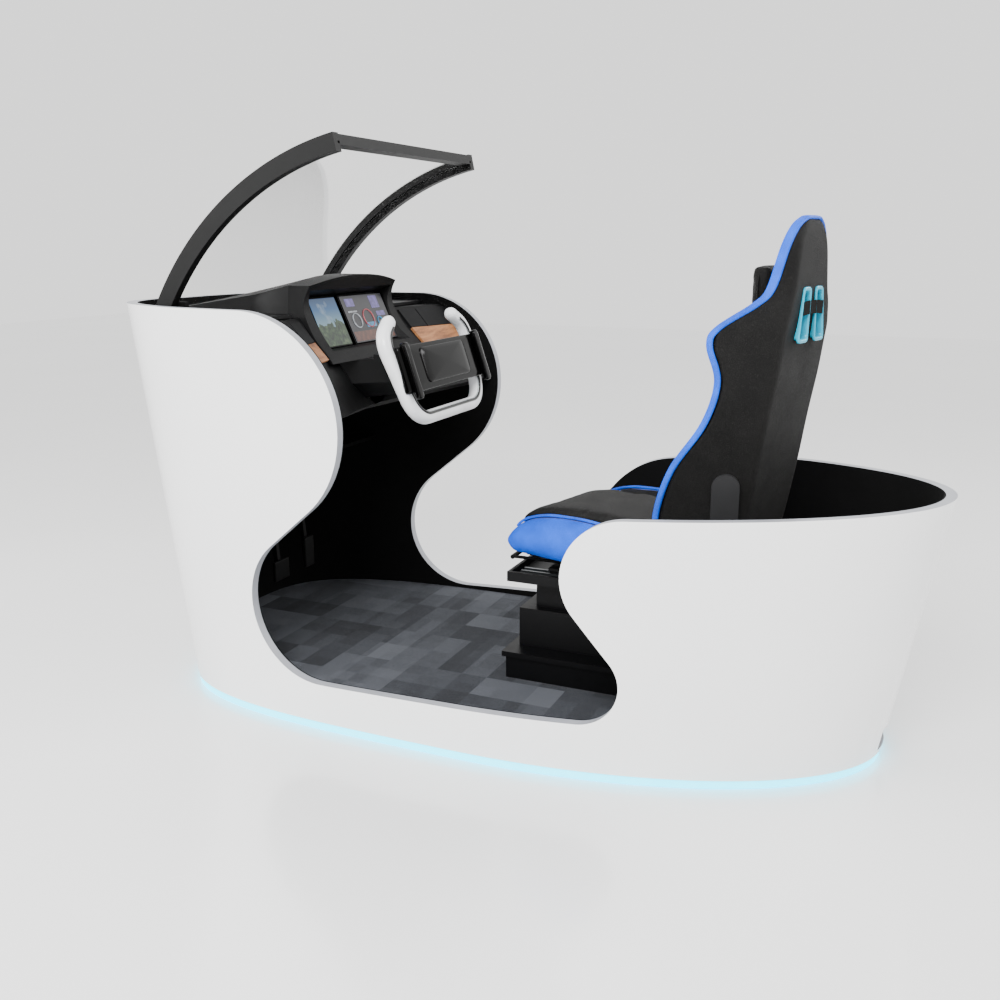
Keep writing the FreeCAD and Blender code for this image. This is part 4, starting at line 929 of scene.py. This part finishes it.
def make_cushion():
    profile = [(0.300, 0.580), (0.304, 0.600), (0.288, 0.620), (0.200, 0.638), (0.060, 0.643),
               (-0.145, 0.638),
               (-0.152, 0.560), (-0.145, 0.520), (0.180, 0.520), (0.250, 0.552)]
    outline = rounded([(along, up, 0) for along, up in profile], 0.010, 4)
    loops = []
    for across, share in ((-0.183, 0.955), (-0.180, 0.985), (-0.170, 1.0), (-0.09, 1.005), (0.0, 1.008),
                          (0.09, 1.005), (0.170, 1.0), (0.180, 0.985), (0.183, 0.955)):
        loop = []
        for p in resample(outline, 110):
            loop.append(seat(0.075 + (p.x - 0.075) * share, across, 0.580 + (p.y - 0.580) * share))
        loops.append(loop)
    vertices, faces = loops_mesh(curve_rows_of_loops(loops, 3))
    pad = build("cushion_top", vertices, faces, "seat_black", "seat", stand_in=("cushion_pad",))
    puff(pad, cap=0.009, voxel=0.006)
    stations = [(0.276, 0.010, 0.560), (0.272, 0.024, 0.560), (0.258, 0.040, 0.561), (0.230, 0.052, 0.566),
                (0.180, 0.059, 0.574), (0.120, 0.061, 0.580), (0.0, 0.060, 0.582), (-0.150, 0.050, 0.572)]
    for side, label in ((1, "left"), (-1, "right")):
        rows = curve_rows(stations, 4)
        loops, ridge = [], []
        for along, tall, middle in rows:
            low, high = max(middle - tall, 0.520), middle + tall
            shape = [(0.190, low), (0.250, low), (0.272, low * 0.75 + middle * 0.25), (0.280, middle),
                     (0.270, high * 0.7 + middle * 0.3), (0.250, high - 0.003), (0.232, high),
                     (0.206, high - 0.002),
                     (0.190, high - 0.016)]
            outline = rounded([(across, up, 0) for across, up in shape], 0.012, 4)
            loops.append([seat(along, side * p.x, p.y) for p in resample(outline, 64)])
            ridge.append(seat(along, side * 0.232, high + 0.006))
        vertices, faces = loops_mesh(loops)
        bolster = build("cushion_bolster_" + label, vertices, faces, "seat_blue", "seat")
        puff(bolster, cap=0.009, voxel=0.005)
        paint_inner_side(bolster, side)
        if side == 1:
            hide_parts("cushion_bolsters")
        tube("cushion_piping_" + label, ridge[5:], 0.0042, "seat_blue", "seat", sides=10)


def paint_inner_side(bolster, side):
    """Black leather on the part of a bolster that faces the driver, behind the piping."""
    bolster.data.materials.append(MATERIALS["seat_black"])
    back = SEAT.inverted()
    for face in bolster.data.polygons:
        local = back @ face.center
        if side * local.y < 0.232 and local.z > 0.575 and local.x < 0.200:
            face.material_index = 1


def curve_rows_of_loops(loops, steps):
    flat = [[value for point in loop for value in point] for loop in loops]
    made = []
    for row in curve_rows(flat, steps):
        made.append([Vector(row[index:index + 3]) for index in range(0, len(row), 3)])
    return made


# ---------------------------------------------------------------- stage

def make_stage():
    mesh = bpy.data.meshes.new("floor")
    reach = FLOOR_REACH
    mesh.from_pydata([(-reach, -reach, 0), (reach, -reach, 0), (reach, reach, 0), (-reach, reach, 0)], [],
                     [(0, 1, 2, 3)])
    floor = bpy.data.objects.new("floor", mesh)
    bpy.context.scene.collection.objects.link(floor)
    shader = Shader("floor_pale")
    shader.colour(shader.ramp(shader.noise(0.6, 2.0), [(0.3, grey(0.84)), (0.7, grey(0.87))]))
    shader.set(Roughness=0.22, Coat_Weight=0.4, Coat_Roughness=0.12)
    mesh.materials.append(shader.material)

    world = bpy.data.worlds.new("studio")
    bpy.context.scene.world = world
    world.use_nodes = True
    world.node_tree.nodes["Background"].inputs["Color"].default_value = (1.0, 1.0, 0.995, 1.0)
    world.node_tree.nodes["Background"].inputs["Strength"].default_value = STUDIO_STRENGTH

    lamps = [
        ("key", (-0.4, 4.4, 4.0), (0.1, 0.0, 0.7), 3.0, 430.0),
        ("fill", (3.8, 2.6, 2.6), (0.3, 0.0, 0.8), 2.8, 120.0),
        ("rim", (-3.6, -2.8, 3.4), (-0.3, 0.0, 0.9), 2.6, 120.0),
    ]
    for name, place, target, size, power in lamps:
        data = bpy.data.lights.new(name, "AREA")
        data.shape = "RECTANGLE"
        data.size = size
        data.size_y = size * 0.6
        data.energy = power
        lamp = bpy.data.objects.new(name, data)
        bpy.context.scene.collection.objects.link(lamp)
        lamp.location = place
        lamp.rotation_euler = (Vector(target) - Vector(place)).to_track_quat("-Z", "Y").to_euler()


def make_camera():
    data = bpy.data.cameras.new("camera")
    data.lens = CAMERA_LENS
    data.sensor_width = CAMERA_SENSOR
    camera = bpy.data.objects.new("camera", data)
    bpy.context.scene.collection.objects.link(camera)
    camera.location = CAMERA_PLACE
    camera.rotation_euler = Vector(CAMERA_FORWARD).to_track_quat("-Z", "Y").to_euler()
    bpy.context.scene.camera = camera


dress_cad_nodes()
dress_shell()
make_displays()
make_yoke()
make_hub()
make_back_shell()
make_back_band()
make_back_front()
make_grommets()
make_pillow()
make_cushion()
make_stage()
make_camera()

bpy.context.view_layer.update()
